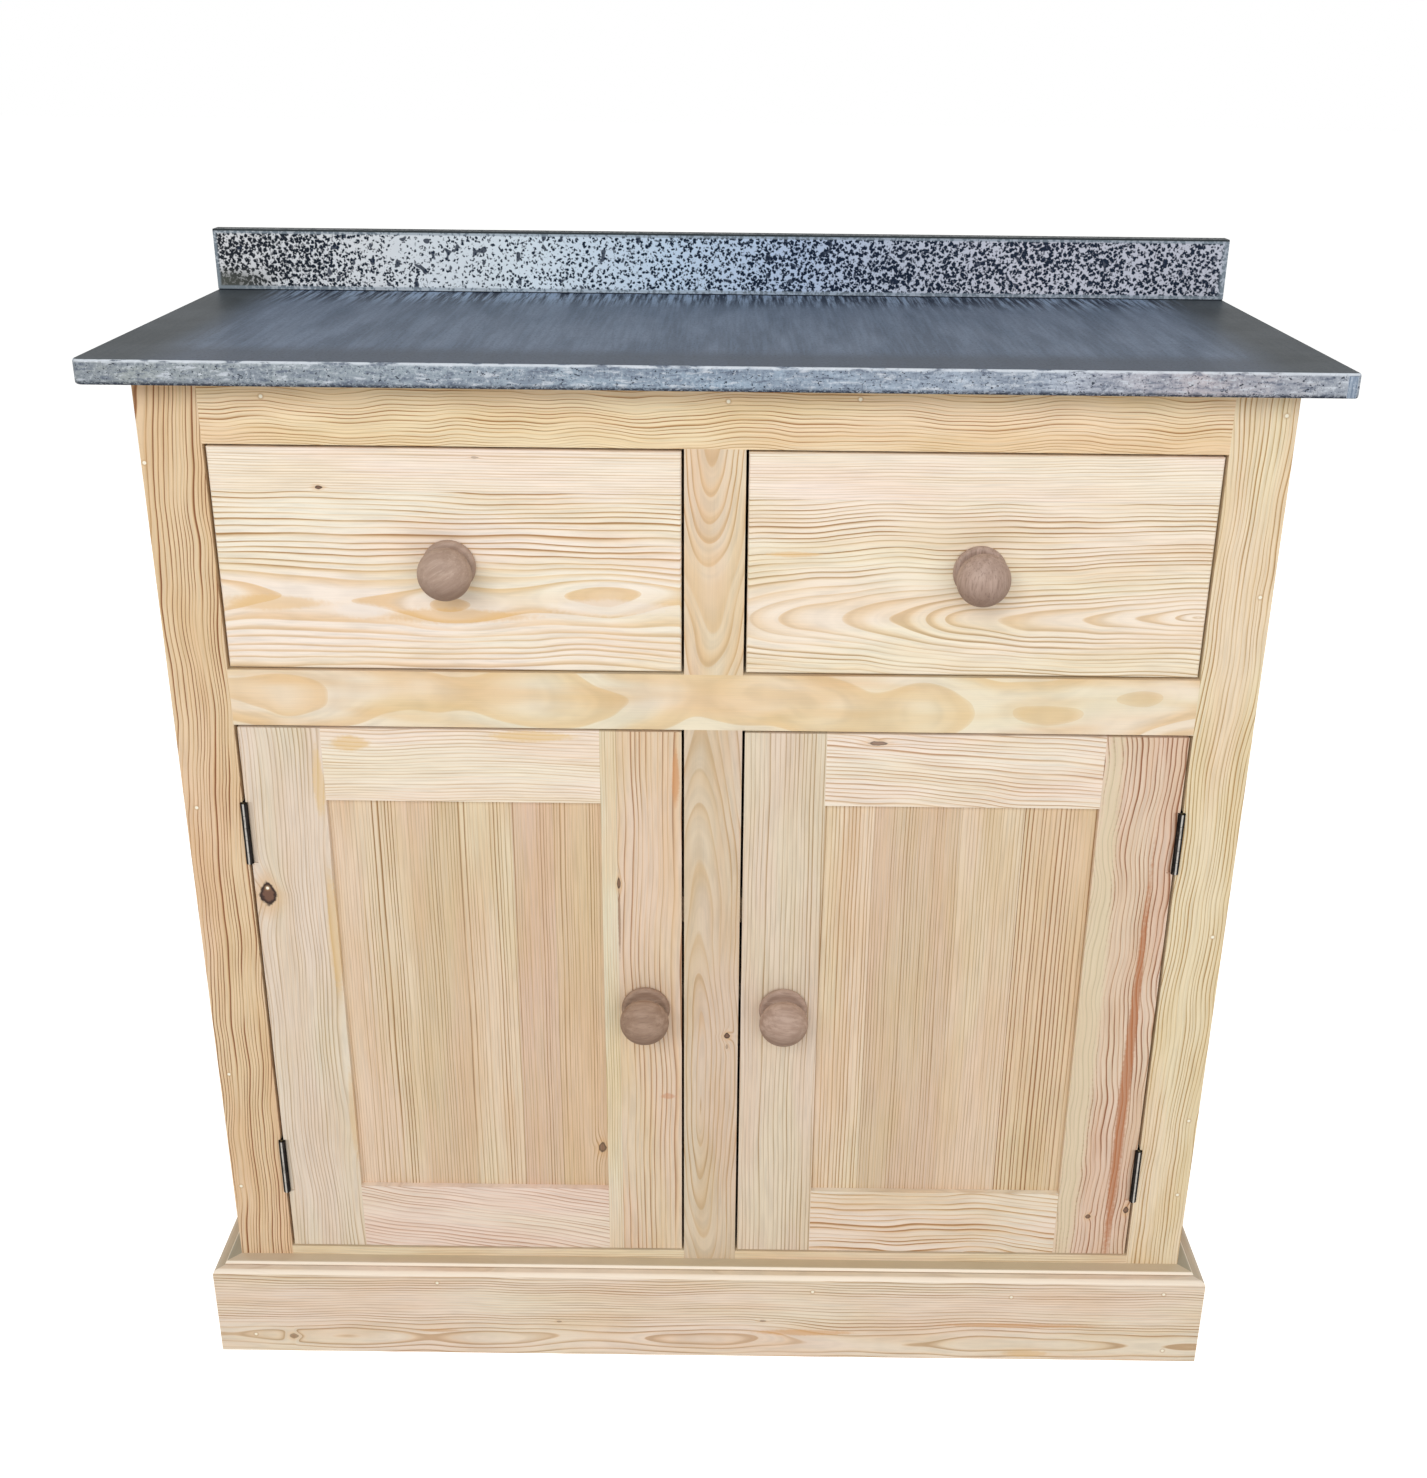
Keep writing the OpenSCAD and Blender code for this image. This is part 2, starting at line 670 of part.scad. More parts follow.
module door_panel(side) color(PINE) on_side(side) {
    reach = panel_groove_d - run_gap;
    block([panel_x[0] - reach, panel_x[1] + reach], panel_y, [panel_z[0] - reach, panel_z[1] + reach]);
}

// The catch: a steel disc in the back of the door and a magnet in the block behind the lower muntin
module catch_disc(y, clear) {
    translate([door_x[0] + catch_inset, y[0], catch_z]) rotate([-90, 0, 0])
        cylinder(d = catch_d + 2 * clear, h = y[1] - y[0]);
}

module door_catch_plate(side) color(SCREW) on_side(side) catch_disc([door_t - catch_plate_t, door_t], 0);

module catch_magnets() color(SCREW) for (side = [-1, 1]) on_side(side) catch_disc(magnet_y(), 0);

function magnet_y() = [door_t + run_gap, door_t + run_gap + magnet_t];

module door_stop() color(BACK_PINE) difference() {
    placed() block_across(stop_reach, [frame_t, frame_t + rail_t],
        [catch_z - stop_half_h, catch_z + stop_half_h]);
    for (side = [-1, 1]) on_side(side) {
        block([mid_x, stop_reach + past], [0, door_t + run_gap],
            [catch_z - stop_half_h - past, catch_z + stop_half_h + past]);
        catch_disc([door_t, magnet_y()[1] + fit], fit);
    }
}

// Hinges: each leaf is drawn with the pin at the origin and the wood that it lies in towards +X

module leaf_housing() {
    wood_x = hinge_gap / 2;
    block([wood_x - past, wood_x + leaf_recess], [0, leaf_w + fit], [-fit, hinge_l + fit]);
    translate([0, 0, -run_gap]) cylinder(r = barrel_r + run_gap, h = hinge_l + 2 * run_gap);
}

function leaf_x() = [hinge_gap / 2 + leaf_recess - leaf_t, hinge_gap / 2 + leaf_recess];

module hinge_leaf(own_knuckles, other_knuckles) difference() {
    union() {
        for (i = own_knuckles) translate([0, 0, i * knuckle_l + (i > 0 ? knuckle_gap / 2 : 0)])
            cylinder(r = barrel_r, h = knuckle_l - knuckle_gap / (i > 0 && i < knuckles - 1 ? 1 : 2));
        block(leaf_x(), [0, leaf_w], [0, hinge_l]);
    }
    for (i = other_knuckles) translate([0, 0, i * knuckle_l - knuckle_gap / 2 + (i > 0 ? 0 : -past)])
        cylinder(r = barrel_r + run_gap,
            h = knuckle_l + knuckle_gap + (i > 0 && i < knuckles - 1 ? 0 : past));
    translate([0, 0, -past]) cylinder(d = pin_d + 2 * pin_fit, h = hinge_l + 2 * past);
    leaf_screws(pin_fit);
}

// The screws of one leaf, or with a clearance the holes for them
module leaf_screws(clear) for (z = leaf_screw_zs)
    translate([leaf_x()[0], (barrel_r + leaf_w) / 2, z]) rotate([0, 90, 0])
        screw(hinge_screw_d, hinge_screw_l, clear);

module at_hinges(side) on_side(side) for (z = hinge_zs) translate([hinge_x, -hinge_proud, z]) children();

module frame_hinge_leaves() color(STEEL) for (side = [-1, 1]) at_hinges(side)
    hinge_leaf([0, 2, 4], [1, 3]);

module hinge_pins() color(SCREW) for (side = [-1, 1]) at_hinges(side) cylinder(d = pin_d, h = hinge_l);

module door_hinge_leaves(side) color(STEEL) at_hinges(side) mirror([1, 0, 0]) hinge_leaf([1, 3], [0, 2, 4]);

module door_hinge_screws(side) color(SCREW) at_hinges(side) mirror([1, 0, 0]) leaf_screws(0);

// Knobs

// The head in section, its widest circle at Y = 0: a small round behind it, and in front
// a larger round that runs smoothly into a flatter dome
module knob_head_section() {
    front = knob_head_t - knob_head_back;
    rim_r = front * 2 / 3;
    rim_x = knob_d / 2 - rim_r;
    flat = front - rim_r;
    drop = (rim_x * rim_x - flat * flat) / (2 * flat);
    dome_r = front + drop;
    back_x = knob_d / 2 - knob_head_back;
    translate([0, -knob_head_back]) square([back_x, knob_head_back]);
    translate([back_x, 0]) mirror([0, 1]) quarter_round(knob_head_back);
    translate([rim_x, 0]) quarter_round(rim_r);
    intersection() {
        translate([0, -drop]) circle(dome_r);
        square([rim_x * dome_r / (dome_r - rim_r), front]);
    }
}

// The foot disc with its rounded edge, and a hollow neck between it and the head
module knob_section() {
    edge_r = knob_foot_t / 2;
    foot_x = knob_foot_d / 2 - edge_r;
    square([foot_x, knob_foot_t]);
    translate([foot_x, edge_r]) intersection() {
        circle(edge_r);
        translate([0, -edge_r]) square(2 * edge_r);
    }
    neck_r = knob_neck_d / 2;
    neck_l = knob_out - knob_head_t - knob_foot_t;
    translate([0, knob_foot_t]) difference() {
        square([neck_r + neck_l / 2, neck_l]);
        translate([neck_r + neck_l / 2, neck_l / 2]) circle(neck_l / 2);
    }
    translate([0, knob_out - knob_head_t + knob_head_back]) knob_head_section();
}

function door_knob_x(side) = door_x[0] + (side < 0 ? left_door_knob_inset : right_door_knob_inset);

module knob_dowel(clear) rotate([-90, 0, 0])
    translate([0, 0, -past]) cylinder(d = knob_dowel_d + 2 * clear, h = knob_dowel_l + clear + past);

module knob(x, z) translate([x, 0, z]) {
    rotate([90, 0, 0]) rotate_extrude() knob_section();
    knob_dowel(0);
}

module drawer_knob(side) color(TURNED_OAK) on_side(side) knob(drawer_mid_x(), drawer_knob_z());

module door_knob(side) color(TURNED_OAK) on_side(side) knob(door_knob_x(side), door_knob_z);

// Worktop and upstand

// A rectangle in section, from X = 0 out to two rounded corners
module edge_section(w, h, r) intersection() {
    square([w, h]);
    union() {
        square([w - r, h]);
        translate([0, r]) square([w, h - 2 * r]);
        for (y = [r, h - r]) translate([w - r, y]) circle(r);
    }
}

// A slab with rounded edges at the front and the ends, square at the back: x is half its length,
// y its front and back, z its underside and top, and corners the two radii in plan
module rounded_slab(x, y, z, corners, r) {
    h = z[1] - z[0];
    translate([corners[0] - x, y[1], z[0]]) rotate([90, 0, 90])
        linear_extrude(2 * x - corners[0] - corners[1]) mirror([1, 0]) edge_section(y[1] - y[0], h, r);
    for (i = [0, 1]) mirror([1 - i, 0, 0]) {
        corner = corners[i];
        translate([x - corner, y[1], z[0]]) rotate([90, 0, 0]) linear_extrude(y[1] - y[0] - corner)
            edge_section(corner, h, r);
        translate([x - corner, y[0] + corner, z[0]]) rotate([0, 0, -90]) rotate_extrude(angle = 90)
            edge_section(corner, h, r);
    }
}

// The board inside the worktop; as a cutter it runs past the back
module worktop_core(extra) placed() rounded_slab(top_x - zinc_t, [zinc_t - overhang, carcase_d + extra],
    [carcase_h, carcase_h + worktop_t], [corner_r_left - zinc_t, corner_r_right - zinc_t], bend_r - zinc_t);

module worktop_board() color(PALE_PINE) difference() {
    worktop_core(0);
    under_screws(fit);
    upstand_screws(fit);
}

// The zinc is folded over the front and the ends, and a lip of it lies under the overhang
module worktop_zinc() color(ZINC) difference() {
    placed() rounded_slab(top_x, [-overhang, carcase_d], [carcase_h - zinc_t, worktop_z],
        [corner_r_left, corner_r_right], bend_r);
    worktop_core(past);
    placed() block_across(top_x - zinc_lip, [zinc_lip - overhang, carcase_d + past],
        [carcase_h - zinc_t - past, carcase_h + bend_r]);
    upstand_screws(fit);
}

module upstand_board() color(PALE_PINE) difference() {
    placed() block_across(upstand_x - zinc_t, [upstand_y - upstand_t / 2, upstand_y + upstand_t / 2],
        [worktop_z, worktop_z + upstand_h - zinc_t]);
    upstand_screws(fit);
}

// The upstand's zinc covers its front, top and ends and turns round onto its back
module upstand_zinc() color(ZINC) placed() difference() {
    translate([-upstand_x, upstand_y, worktop_z + upstand_joint]) rotate([90, 0, 90])
        linear_extrude(2 * upstand_x) upstand_section(upstand_t / 2 + zinc_t, upstand_h - upstand_joint);
    block_across(upstand_x - zinc_t, [upstand_y - upstand_t / 2, upstand_y + upstand_t / 2],
        [worktop_z, worktop_z + upstand_h - zinc_t]);
    block_across(upstand_x - zinc_lip, [upstand_y, carcase_d + past],
        [worktop_z, worktop_z + upstand_h - zinc_lip]);
}

// The upstand in section: half its thickness on each side, its two upper edges rounded
module upstand_section(half_t, h) {
    r = 2 * zinc_t;
    translate([-half_t, 0]) square([2 * half_t, h - r]);
    translate([r - half_t, 0]) square([2 * (half_t - r), h]);
    for (y = [r - half_t, half_t - r]) translate([y, h - r]) circle(r);
}

// Screws

module under_screws(clear) placed() for (x = under_screw_xs(), y = under_screw_ys)
    translate([x, y, under_screw_z()]) screw(worktop_screw_d, worktop_screw_l, clear);

module upstand_screws(clear) placed() for (x = upstand_screw_xs)
    translate([x, upstand_y, carcase_h]) screw(worktop_screw_d, upstand_screw_l, clear);

module carcase_screws() color(SCREW) {
    under_screws(0);
    upstand_screws(0);
    for (side = [-1, 1]) at_hinges(side) leaf_screws(0);
}

// Plinth

// The plinth in section, out from the carcase along X and up along Y
module plinth_section() {
    face_h = plinth_h - plinth_small_r - plinth_step - plinth_large_r;
    step_h = plinth_h - plinth_small_r - plinth_step;
    square([plinth_out, face_h]);
    square([plinth_out - plinth_large_r, step_h]);
    translate([plinth_out - plinth_large_r, face_h]) quarter_round(plinth_large_r);
    square([plinth_flat, plinth_h]);
    square([plinth_flat + plinth_small_r, plinth_h - plinth_small_r]);
    translate([plinth_flat, plinth_h - plinth_small_r]) quarter_round(plinth_small_r);
}

module quarter_round(r) intersection() {
    circle(r);
    square(r);
}

// The front board is mitred at both ends, and each side board at its front end
module plinth_front() color(PALE_PINE) placed() intersection() {
    translate([-half_w - plinth_out, 0, 0]) rotate([90, 0, 90]) linear_extrude(carcase_w + 2 * plinth_out)
        mirror([1, 0]) plinth_section();
    linear_extrude(plinth_h) polygon([
        [-half_w - plinth_out, -plinth_out], [half_w + plinth_out, -plinth_out], [half_w, 0], [-half_w, 0]
    ]);
}

module plinth_side(side) color(PALE_PINE) on_side(side) intersection() {
    translate([half_w, carcase_d, 0]) rotate([90, 0, 0]) linear_extrude(carcase_d + plinth_out)
        plinth_section();
    linear_extrude(plinth_h) polygon([
        [half_w, 0], [half_w + plinth_out, -plinth_out],
        [half_w + plinth_out, carcase_d], [half_w, carcase_d]
    ]);
}

side_panel(-1);  // side_left
side_panel(1);  // side_right
back_boards();
base_board();
shelf();
stile(-1);  // stile_left
stile(1);  // stile_right
top_rail();
mid_rail();
bottom_rail();
upper_muntin();
lower_muntin();
top_rear_rail();
drawer_bearer();
mid_rear_rail();
drawer_runners();
drawer_kickers();
drawer_stops();
worktop_board();
worktop_zinc();
upstand_board();
upstand_zinc();
carcase_screws();
plinth_front();
plinth_side(-1);  // plinth_left
plinth_side(1);  // plinth_right
frame_hinge_leaves();
hinge_pins();
door_stop();
catch_magnets();
door_hinge_stile(-1);  // door_left_hinge_stile
door_meeting_stile(-1);  // door_left_meeting_stile
door_top_rail(-1);  // door_left_top_rail
door_bottom_rail(-1);  // door_left_bottom_rail
door_panel(-1);  // door_left_panel
door_knob(-1);  // door_left_knob
door_hinge_leaves(-1);  // door_left_hinge_leaves
door_hinge_screws(-1);  // door_left_hinge_screws
door_catch_plate(-1);  // door_left_catch_plate
door_hinge_stile(1);  // door_right_hinge_stile
door_meeting_stile(1);  // door_right_meeting_stile
door_top_rail(1);  // door_right_top_rail
door_bottom_rail(1);  // door_right_bottom_rail
door_panel(1);  // door_right_panel
door_knob(1);  // door_right_knob
door_hinge_leaves(1);  // door_right_hinge_leaves
door_hinge_screws(1);  // door_right_hinge_screws
door_catch_plate(1);  // door_right_catch_plate
drawer_front(-1);  // drawer_left_front
drawer_outer_side(-1);  // drawer_left_outer_side
drawer_inner_side(-1);  // drawer_left_inner_side
drawer_back(-1);  // drawer_left_back
drawer_bottom(-1);  // drawer_left_bottom
drawer_knob(-1);  // drawer_left_knob
drawer_front(1);  // drawer_right_front
drawer_outer_side(1);  // drawer_right_outer_side
drawer_inner_side(1);  // drawer_right_inner_side
drawer_back(1);  // drawer_right_back
drawer_bottom(1);  // drawer_right_bottom
drawer_knob(1);  // drawer_right_knob
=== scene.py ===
import math

import bmesh
import bpy
from mathutils import Matrix, Vector


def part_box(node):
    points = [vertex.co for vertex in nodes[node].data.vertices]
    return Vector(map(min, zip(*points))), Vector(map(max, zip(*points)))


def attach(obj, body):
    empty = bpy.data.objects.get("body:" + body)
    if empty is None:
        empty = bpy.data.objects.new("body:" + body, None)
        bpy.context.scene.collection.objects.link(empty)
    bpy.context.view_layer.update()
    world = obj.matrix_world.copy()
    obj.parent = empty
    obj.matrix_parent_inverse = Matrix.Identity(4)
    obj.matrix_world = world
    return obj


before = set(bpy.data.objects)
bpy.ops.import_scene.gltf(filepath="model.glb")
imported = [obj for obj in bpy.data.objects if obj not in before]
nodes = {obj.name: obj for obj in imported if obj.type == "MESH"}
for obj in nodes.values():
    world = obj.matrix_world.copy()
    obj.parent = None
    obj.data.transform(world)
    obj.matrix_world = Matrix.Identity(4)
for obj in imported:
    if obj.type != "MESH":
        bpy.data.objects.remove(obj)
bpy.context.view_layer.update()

# The frame is in metres, and the materials work in millimetres
MM = 1000.0


def face_of(name, axis, side):
    """The place of a node's face on the axis x, y or z, in millimetres: its low face where side is 0 and
    its high one where side is 1."""
    return round(getattr(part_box(name)[side], axis) * MM, 1)


def spans_of(name):
    """The low and high ends of a node on each axis, in millimetres."""
    return [(low * MM, high * MM) for low, high in zip(*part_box(name))]


# Colours and node helpers

def srgb(r, g, b):
    """An 8-bit colour as Blender's linear RGBA."""
    def linear(v):
        v /= 255
        return v / 12.92 if v <= 0.04045 else ((v + 0.055) / 1.055) ** 2.4
    return (linear(r), linear(g), linear(b), 1.0)


def grey(level):
    """A level as a linear RGBA, for ramps that hold numbers."""
    return (level, level, level, 1.0)


WHITE = grey(1.0)

# Places of the factor, the two values and the result among a Mix node's sockets
MIX = {"FLOAT": (0, 2, 3, 0), "VECTOR": (0, 4, 5, 1), "RGBA": (0, 6, 7, 2)}


class Tree:
    """Builds a node tree. Most methods add a node and give back its output."""

    def __init__(self, tree):
        self.tree = tree

    def feed(self, socket, value):
        if isinstance(value, bpy.types.NodeSocket):
            self.tree.links.new(value, socket)
        elif value is not None:
            socket.default_value = value

    def add(self, kind, settings=None, **inputs):
        node = self.tree.nodes.new(kind)
        for key, value in (settings or {}).items():
            setattr(node, key, value)
        for key, value in inputs.items():
            self.feed(node.inputs[key.replace("_", " ")], value)
        return node

    def maths(self, operation, a, b=None, c=None, clamp=False):
        node = self.add("ShaderNodeMath", {"operation": operation, "use_clamp": clamp})
        for socket, value in zip(node.inputs, (a, b, c)):
            self.feed(socket, value)
        return node.outputs[0]

    def scaled(self, value, by, plus):
        """value * by + plus"""
        return self.maths("MULTIPLY_ADD", value, by, plus)

    def product(self, *values):
        result = values[0]
        for value in values[1:]:
            result = self.maths("MULTIPLY", result, value)
        return result

    def vector(self, operation, a, b=None, scale=None):
        node = self.add("ShaderNodeVectorMath", {"operation": operation})
        for place, value in ((0, a), (1, b), (3, scale)):
            self.feed(node.inputs[place], value)
        return node.outputs[1 if operation == "DISTANCE" else 0]

    def mix(self, factor, a, b, kind="RGBA", blend="MIX"):
        node = self.add("ShaderNodeMix", {"data_type": kind})
        if kind == "RGBA":
            node.blend_type = blend
        *places, result = MIX[kind]
        for place, value in zip(places, (factor, a, b)):
            self.feed(node.inputs[place], value)
        return node.outputs[result]

    def remap(self, value, low, high, to_low=0.0, to_high=1.0, smooth=True):
        node = self.add("ShaderNodeMapRange", {"interpolation_type": "SMOOTHSTEP" if smooth else "LINEAR"})
        for socket, v in zip(node.inputs, (value, low, high, to_low, to_high)):
            self.feed(socket, v)
        return node.outputs[0]

    def noise(self, vector, scale=1.0, detail=2.0, roughness=0.5, w=None, output="Fac"):
        node = self.add("ShaderNodeTexNoise", {"noise_dimensions": "4D" if w is not None else "3D"},
                        Vector=vector, Scale=scale, Detail=detail, Roughness=roughness)
        if w is not None:
            self.feed(node.inputs["W"], w)
        return node.outputs[output]

    def dice(self, x, y):
        """Random numbers for each pair of values."""
        return self.add("ShaderNodeTexWhiteNoise", {"noise_dimensions": "2D"},
                        Vector=self.join(x, y, 0.0)).outputs

    def split(self, vector):
        return self.add("ShaderNodeSeparateXYZ", Vector=vector).outputs

    def join(self, x, y, z):
        node = self.add("ShaderNodeCombineXYZ")
        for socket, value in zip(node.inputs, (x, y, z)):
            self.feed(socket, value)
        return node.outputs[0]

    def stretch(self, vector, x, y, z):
        """The vector with a factor of its own on each part."""
        return self.vector("MULTIPLY", vector, (x, y, z))

    def ramp(self, value, stops):
        """Colours along a line: (place from 0 to 1, linear RGBA) stops."""
        node = self.add("ShaderNodeValToRGB", Fac=value)
        ramp = node.color_ramp
        while len(ramp.elements) < len(stops):
            ramp.elements.new(0.5)
        for element, (place, colour) in zip(ramp.elements, stops):
            element.position = place
            element.color = colour
        return node.outputs["Color"]

    def mark(self, colour, value, low, high, amount, tone):
        """The colour, with up to that amount of the tone as the value goes from low to high."""
        return self.mix(self.remap(value, low, high, 0.0, amount), colour, tone)

    def surface(self, shader, height, strength, distance=0.0002):
        """Gives the shader its bump and puts it on the surface."""
        bump = self.add("ShaderNodeBump", Height=height, Strength=strength, Distance=distance)
        self.feed(shader.inputs["Normal"], bump.outputs[0])
        self.add("ShaderNodeOutputMaterial", Surface=shader.outputs[0])


def new_material(name):
    """An empty material, its tree and its texture coordinates."""
    material = bpy.data.materials.new(name)
    material.use_nodes = True
    material.node_tree.nodes.clear()
    t = Tree(material.node_tree)
    return material, t, t.add("ShaderNodeTexCoord").outputs


def wood_shader(t, colour, roughness, specular):
    """A Principled shader for bare wood."""
    return t.add("ShaderNodeBsdfPrincipled", Base_Color=colour, Roughness=roughness, IOR=1.48,
                 Specular_IOR_Level=specular)


def new_object(name, data):
    thing = bpy.data.objects.new(name, data)
    bpy.context.scene.collection.objects.link(thing)
    return thing


def group(name, vectors, floats, results):
    """A new node group with those inputs, whose results are floats. Returns it, its tree and its inputs."""
    tree = bpy.data.node_groups.new(name, "ShaderNodeTree")
    for labels, side, kind in ((vectors, "INPUT", "Vector"), (floats, "INPUT", "Float"),
                               (results, "OUTPUT", "Float")):
        for label in labels.split():
            tree.interface.new_socket(label, in_out=side, socket_type="NodeSocket" + kind)
    return tree, Tree(tree), tree.nodes.new("NodeGroupInput").outputs


def use(t, tree, **inputs):
    """The results of a group for those inputs."""
    return t.add("ShaderNodeGroup", {"node_tree": tree}, **inputs).outputs


def dress(material, *names):
    for name in names:
        mesh = nodes[name].data
        mesh.materials.clear()
        mesh.materials.append(material)


# Growth rings of a pine board

# Points are in millimetres in the board's own axes: x across the grain, y along it and z through the board
# from its face. Scales of noise are in waves for each millimetre.

# One year's ring from its pale early wood to its dark late wood, which ends sharply
YEAR = [(0.0, grey(0.05)), (0.25, grey(0.0)), (0.55, grey(0.16)), (0.77, grey(0.58)), (0.88, grey(1.0)),
        (0.95, grey(0.85)), (1.0, grey(0.05))]

# How the rings stray: waves for each millimetre across and for each Length along, millimetres for each unit
# of Wander, and the place of the noise
BROAD_STRAY, FINE_STRAY = (0.011, 1.0, 8.0, 0.0), (0.024, 2.3, 1.3, 9.0)

# How unevenly the years grow: waves for each ring, and the rings that a wave adds
UNEVEN_SCALE, UNEVEN_RINGS = 0.31, 1.7


def rings_group():
    """The rings of a log round its pith. Ring runs from 0 to 1 over each year, and Line is its late wood.
    Crisp is 1 where the rings meet the face steeply or Soft is 0. Fibre and Hair are fine marks along the
    grain, and Cloud and Broad are slow changes of tone."""
    tree, t, given = group("pine_rings", "Point Pith Slope", "Spacing Wander Length Seed Bulge Soft",
                           "Line Crisp Ring Fibre Hair Cloud Broad")
    x, y, z = t.split(given["Point"])
    seed = given["Seed"]
    along = t.maths("DIVIDE", y, given["Length"])

    def stray(waves_across, waves_along, amount, later):
        place = t.join(t.product(x, waves_across), t.product(along, waves_along),
                       t.product(z, waves_across))
        moved = t.noise(place, 1.0, 1.0, 0.5, w=t.maths("ADD", seed, later), output="Color")
        moved = t.vector("SUBTRACT", moved, (0.5, 0.5, 0.5))
        return t.vector("SCALE", moved, scale=t.product(given["Wander"], amount))

    lean = t.vector("SCALE", given["Slope"], scale=y)
    place = t.vector("SUBTRACT", t.vector("SUBTRACT", given["Point"], given["Pith"]), lean)
    place = t.vector("ADD", t.vector("ADD", place, stray(*BROAD_STRAY)), stray(*FINE_STRAY))
    side, _, depth = t.split(place)
    radius = t.maths("SQRT", t.maths("ADD", t.product(side, side), t.product(depth, depth)))
    edge_on = t.maths("DIVIDE", t.maths("ABSOLUTE", side), t.maths("ADD", radius, 0.01))
    crisp = t.mix(t.maths("SUBTRACT", 1.0, given["Soft"]), t.remap(edge_on, 0.2, 0.85), 1.0, kind="FLOAT")

    count = t.maths("DIVIDE", t.maths("ADD", radius, given["Bulge"]), given["Spacing"])
    uneven = t.add("ShaderNodeTexNoise", {"noise_dimensions": "2D"}, Scale=UNEVEN_SCALE, Detail=2.0,
                   Vector=t.join(count, seed, 0.0)).outputs["Fac"]
    count = t.maths("ADD", count, t.product(uneven, UNEVEN_RINGS))
    turn = t.maths("FRACT", count)
    year = t.dice(t.maths("FLOOR", count), t.maths("FLOOR", t.product(seed, 3.0)))["Value"]
    fade = t.noise(t.join(t.product(count, 0.23), t.product(along, 0.9), seed), 1.0, 1.0)
    late = t.product(t.ramp(turn, YEAR), t.scaled(year, 0.55, 0.5),
                     t.remap(fade, 0.3, 0.62, 0.55, 1.2))
    hair = t.join(t.product(count, 1.9), t.product(y, 0.018), seed)
    wide = t.stretch(given["Point"], 0.035, 0.0065, 0.035)

    t.add("NodeGroupOutput", Line=late, Crisp=crisp, Ring=turn,
          Fibre=t.noise(t.stretch(given["Point"], 0.9, 0.02, 0.9), 1.0, 3.0, 0.6, w=seed),
          Hair=t.noise(hair, 1.0, 2.0, 0.6),
          Cloud=t.noise(wide, 1.0, 2.0, 0.5, w=t.maths("ADD", seed, 17.0)),
          Broad=t.noise(wide, 0.6, 2.0, 0.5, w=t.maths("ADD", seed, 41.0)))
    return tree


def knot_group():
    """A knot, or another place that the rings go round, narrowing to a point along the grain. Bulge is its
    push on the rings, Core the knot, Halo the warm wood round it, and Inside the distance from its middle
    in its own sizes."""
    tree, t, given = group("pine_knot", "Point Centre Size", "", "Bulge Core Halo Inside")
    away = t.vector("SUBTRACT", given["Point"], given["Centre"])
    x, y, _ = t.split(t.vector("DIVIDE", away, given["Size"]))
    beside = t.product(x, t.scaled(t.maths("MAXIMUM", y, 0.0), 0.5, 1.0))
    distance = t.maths("SQRT", t.maths("ADD", t.product(beside, beside), t.product(y, y)))
    ragged = t.maths("ADD", distance, t.scaled(t.noise(given["Point"], 0.25, 2.0), 0.5, -0.25))
    t.add("NodeGroupOutput", Bulge=t.maths("POWER", math.e, t.product(distance, distance, -0.22)),
          Core=t.remap(ragged, 0.8, 1.05, 1.0, 0.0), Halo=t.remap(ragged, 0.9, 2.6, 1.0, 0.0),
          Inside=ragged)
    return tree


RINGS, KNOT = rings_group(), knot_group()


# Pine

KNOT_INSIDE, KNOT_RIM, AMBER = srgb(112, 80, 64), srgb(46, 28, 22), srgb(216, 170, 116)
FILLER, FILLER_RIM = srgb(252, 244, 224), srgb(190, 152, 108)
PINKISH, YELLOWISH = (1.005, 0.975, 0.985, 1.0), (0.985, 1.0, 0.965, 1.0)
STANDARD = dict(pith=(0, 60), slope=(0, 0), spacing=3.4, wander=1.2, length=150, soft=0.5, contrast=0.7,
                tint_amount=0.4, pale=(240, 224, 202), line=(186, 144, 100), tint=(226, 192, 146), seed=1.0)
TONES, PLACES = ("pale", "line", "tint"), ("pith", "slope")
ROUGH = 0.62

# Radii of a filled nail hole, of its edge and of the stain round it, and how far each painted light band
# fades
HOLE_R, HOLE_EDGE_R, STAIN_R = 1.2, 2.0, 3.8
LIGHT_BAND_FADE = 0.15


def mixed_staves(t, across, base, staves):
    """Gives the base values each later stave's own values beyond its edge."""
    for edge, changed in staves:
        beyond = t.maths("GREATER_THAN", across, edge)
        for key, value in changed.items():
            if key in TONES:
                base[key] = t.mix(beyond, base[key], srgb(*value))
            elif key in PLACES:
                base[key] = t.mix(beyond, base[key], (value[0], 0.0, value[1]), kind="VECTOR")
            else:
                base[key] = t.mix(beyond, base[key], float(value), kind="FLOAT")


def random_strips(t, across, base, width):
    """Gives strips of that width a pith, slope and seed of their own. Returns a random level for each strip
    and the distance from the nearest joint."""
    strip = t.maths("FLOOR", t.maths("DIVIDE", across, width))
    dice = t.split(t.dice(strip, base["seed"])["Color"])
    middle = t.product(t.maths("ADD", strip, 0.5), width)
    base["pith"] = t.join(t.maths("ADD", middle, t.scaled(dice[0], 160.0, -80.0)), 0.0,
                          t.scaled(dice[1], 60.0, 20.0))
    base["slope"] = t.join(0.0, 0.0, t.scaled(dice[2], 0.05, -0.025))
    base["seed"] = t.maths("ADD", base["seed"], t.product(strip, 3.7))
    joint = t.product(t.maths("ROUND", t.maths("DIVIDE", across, width)), width)
    return dice[1], t.maths("ABSOLUTE", t.maths("SUBTRACT", across, joint))


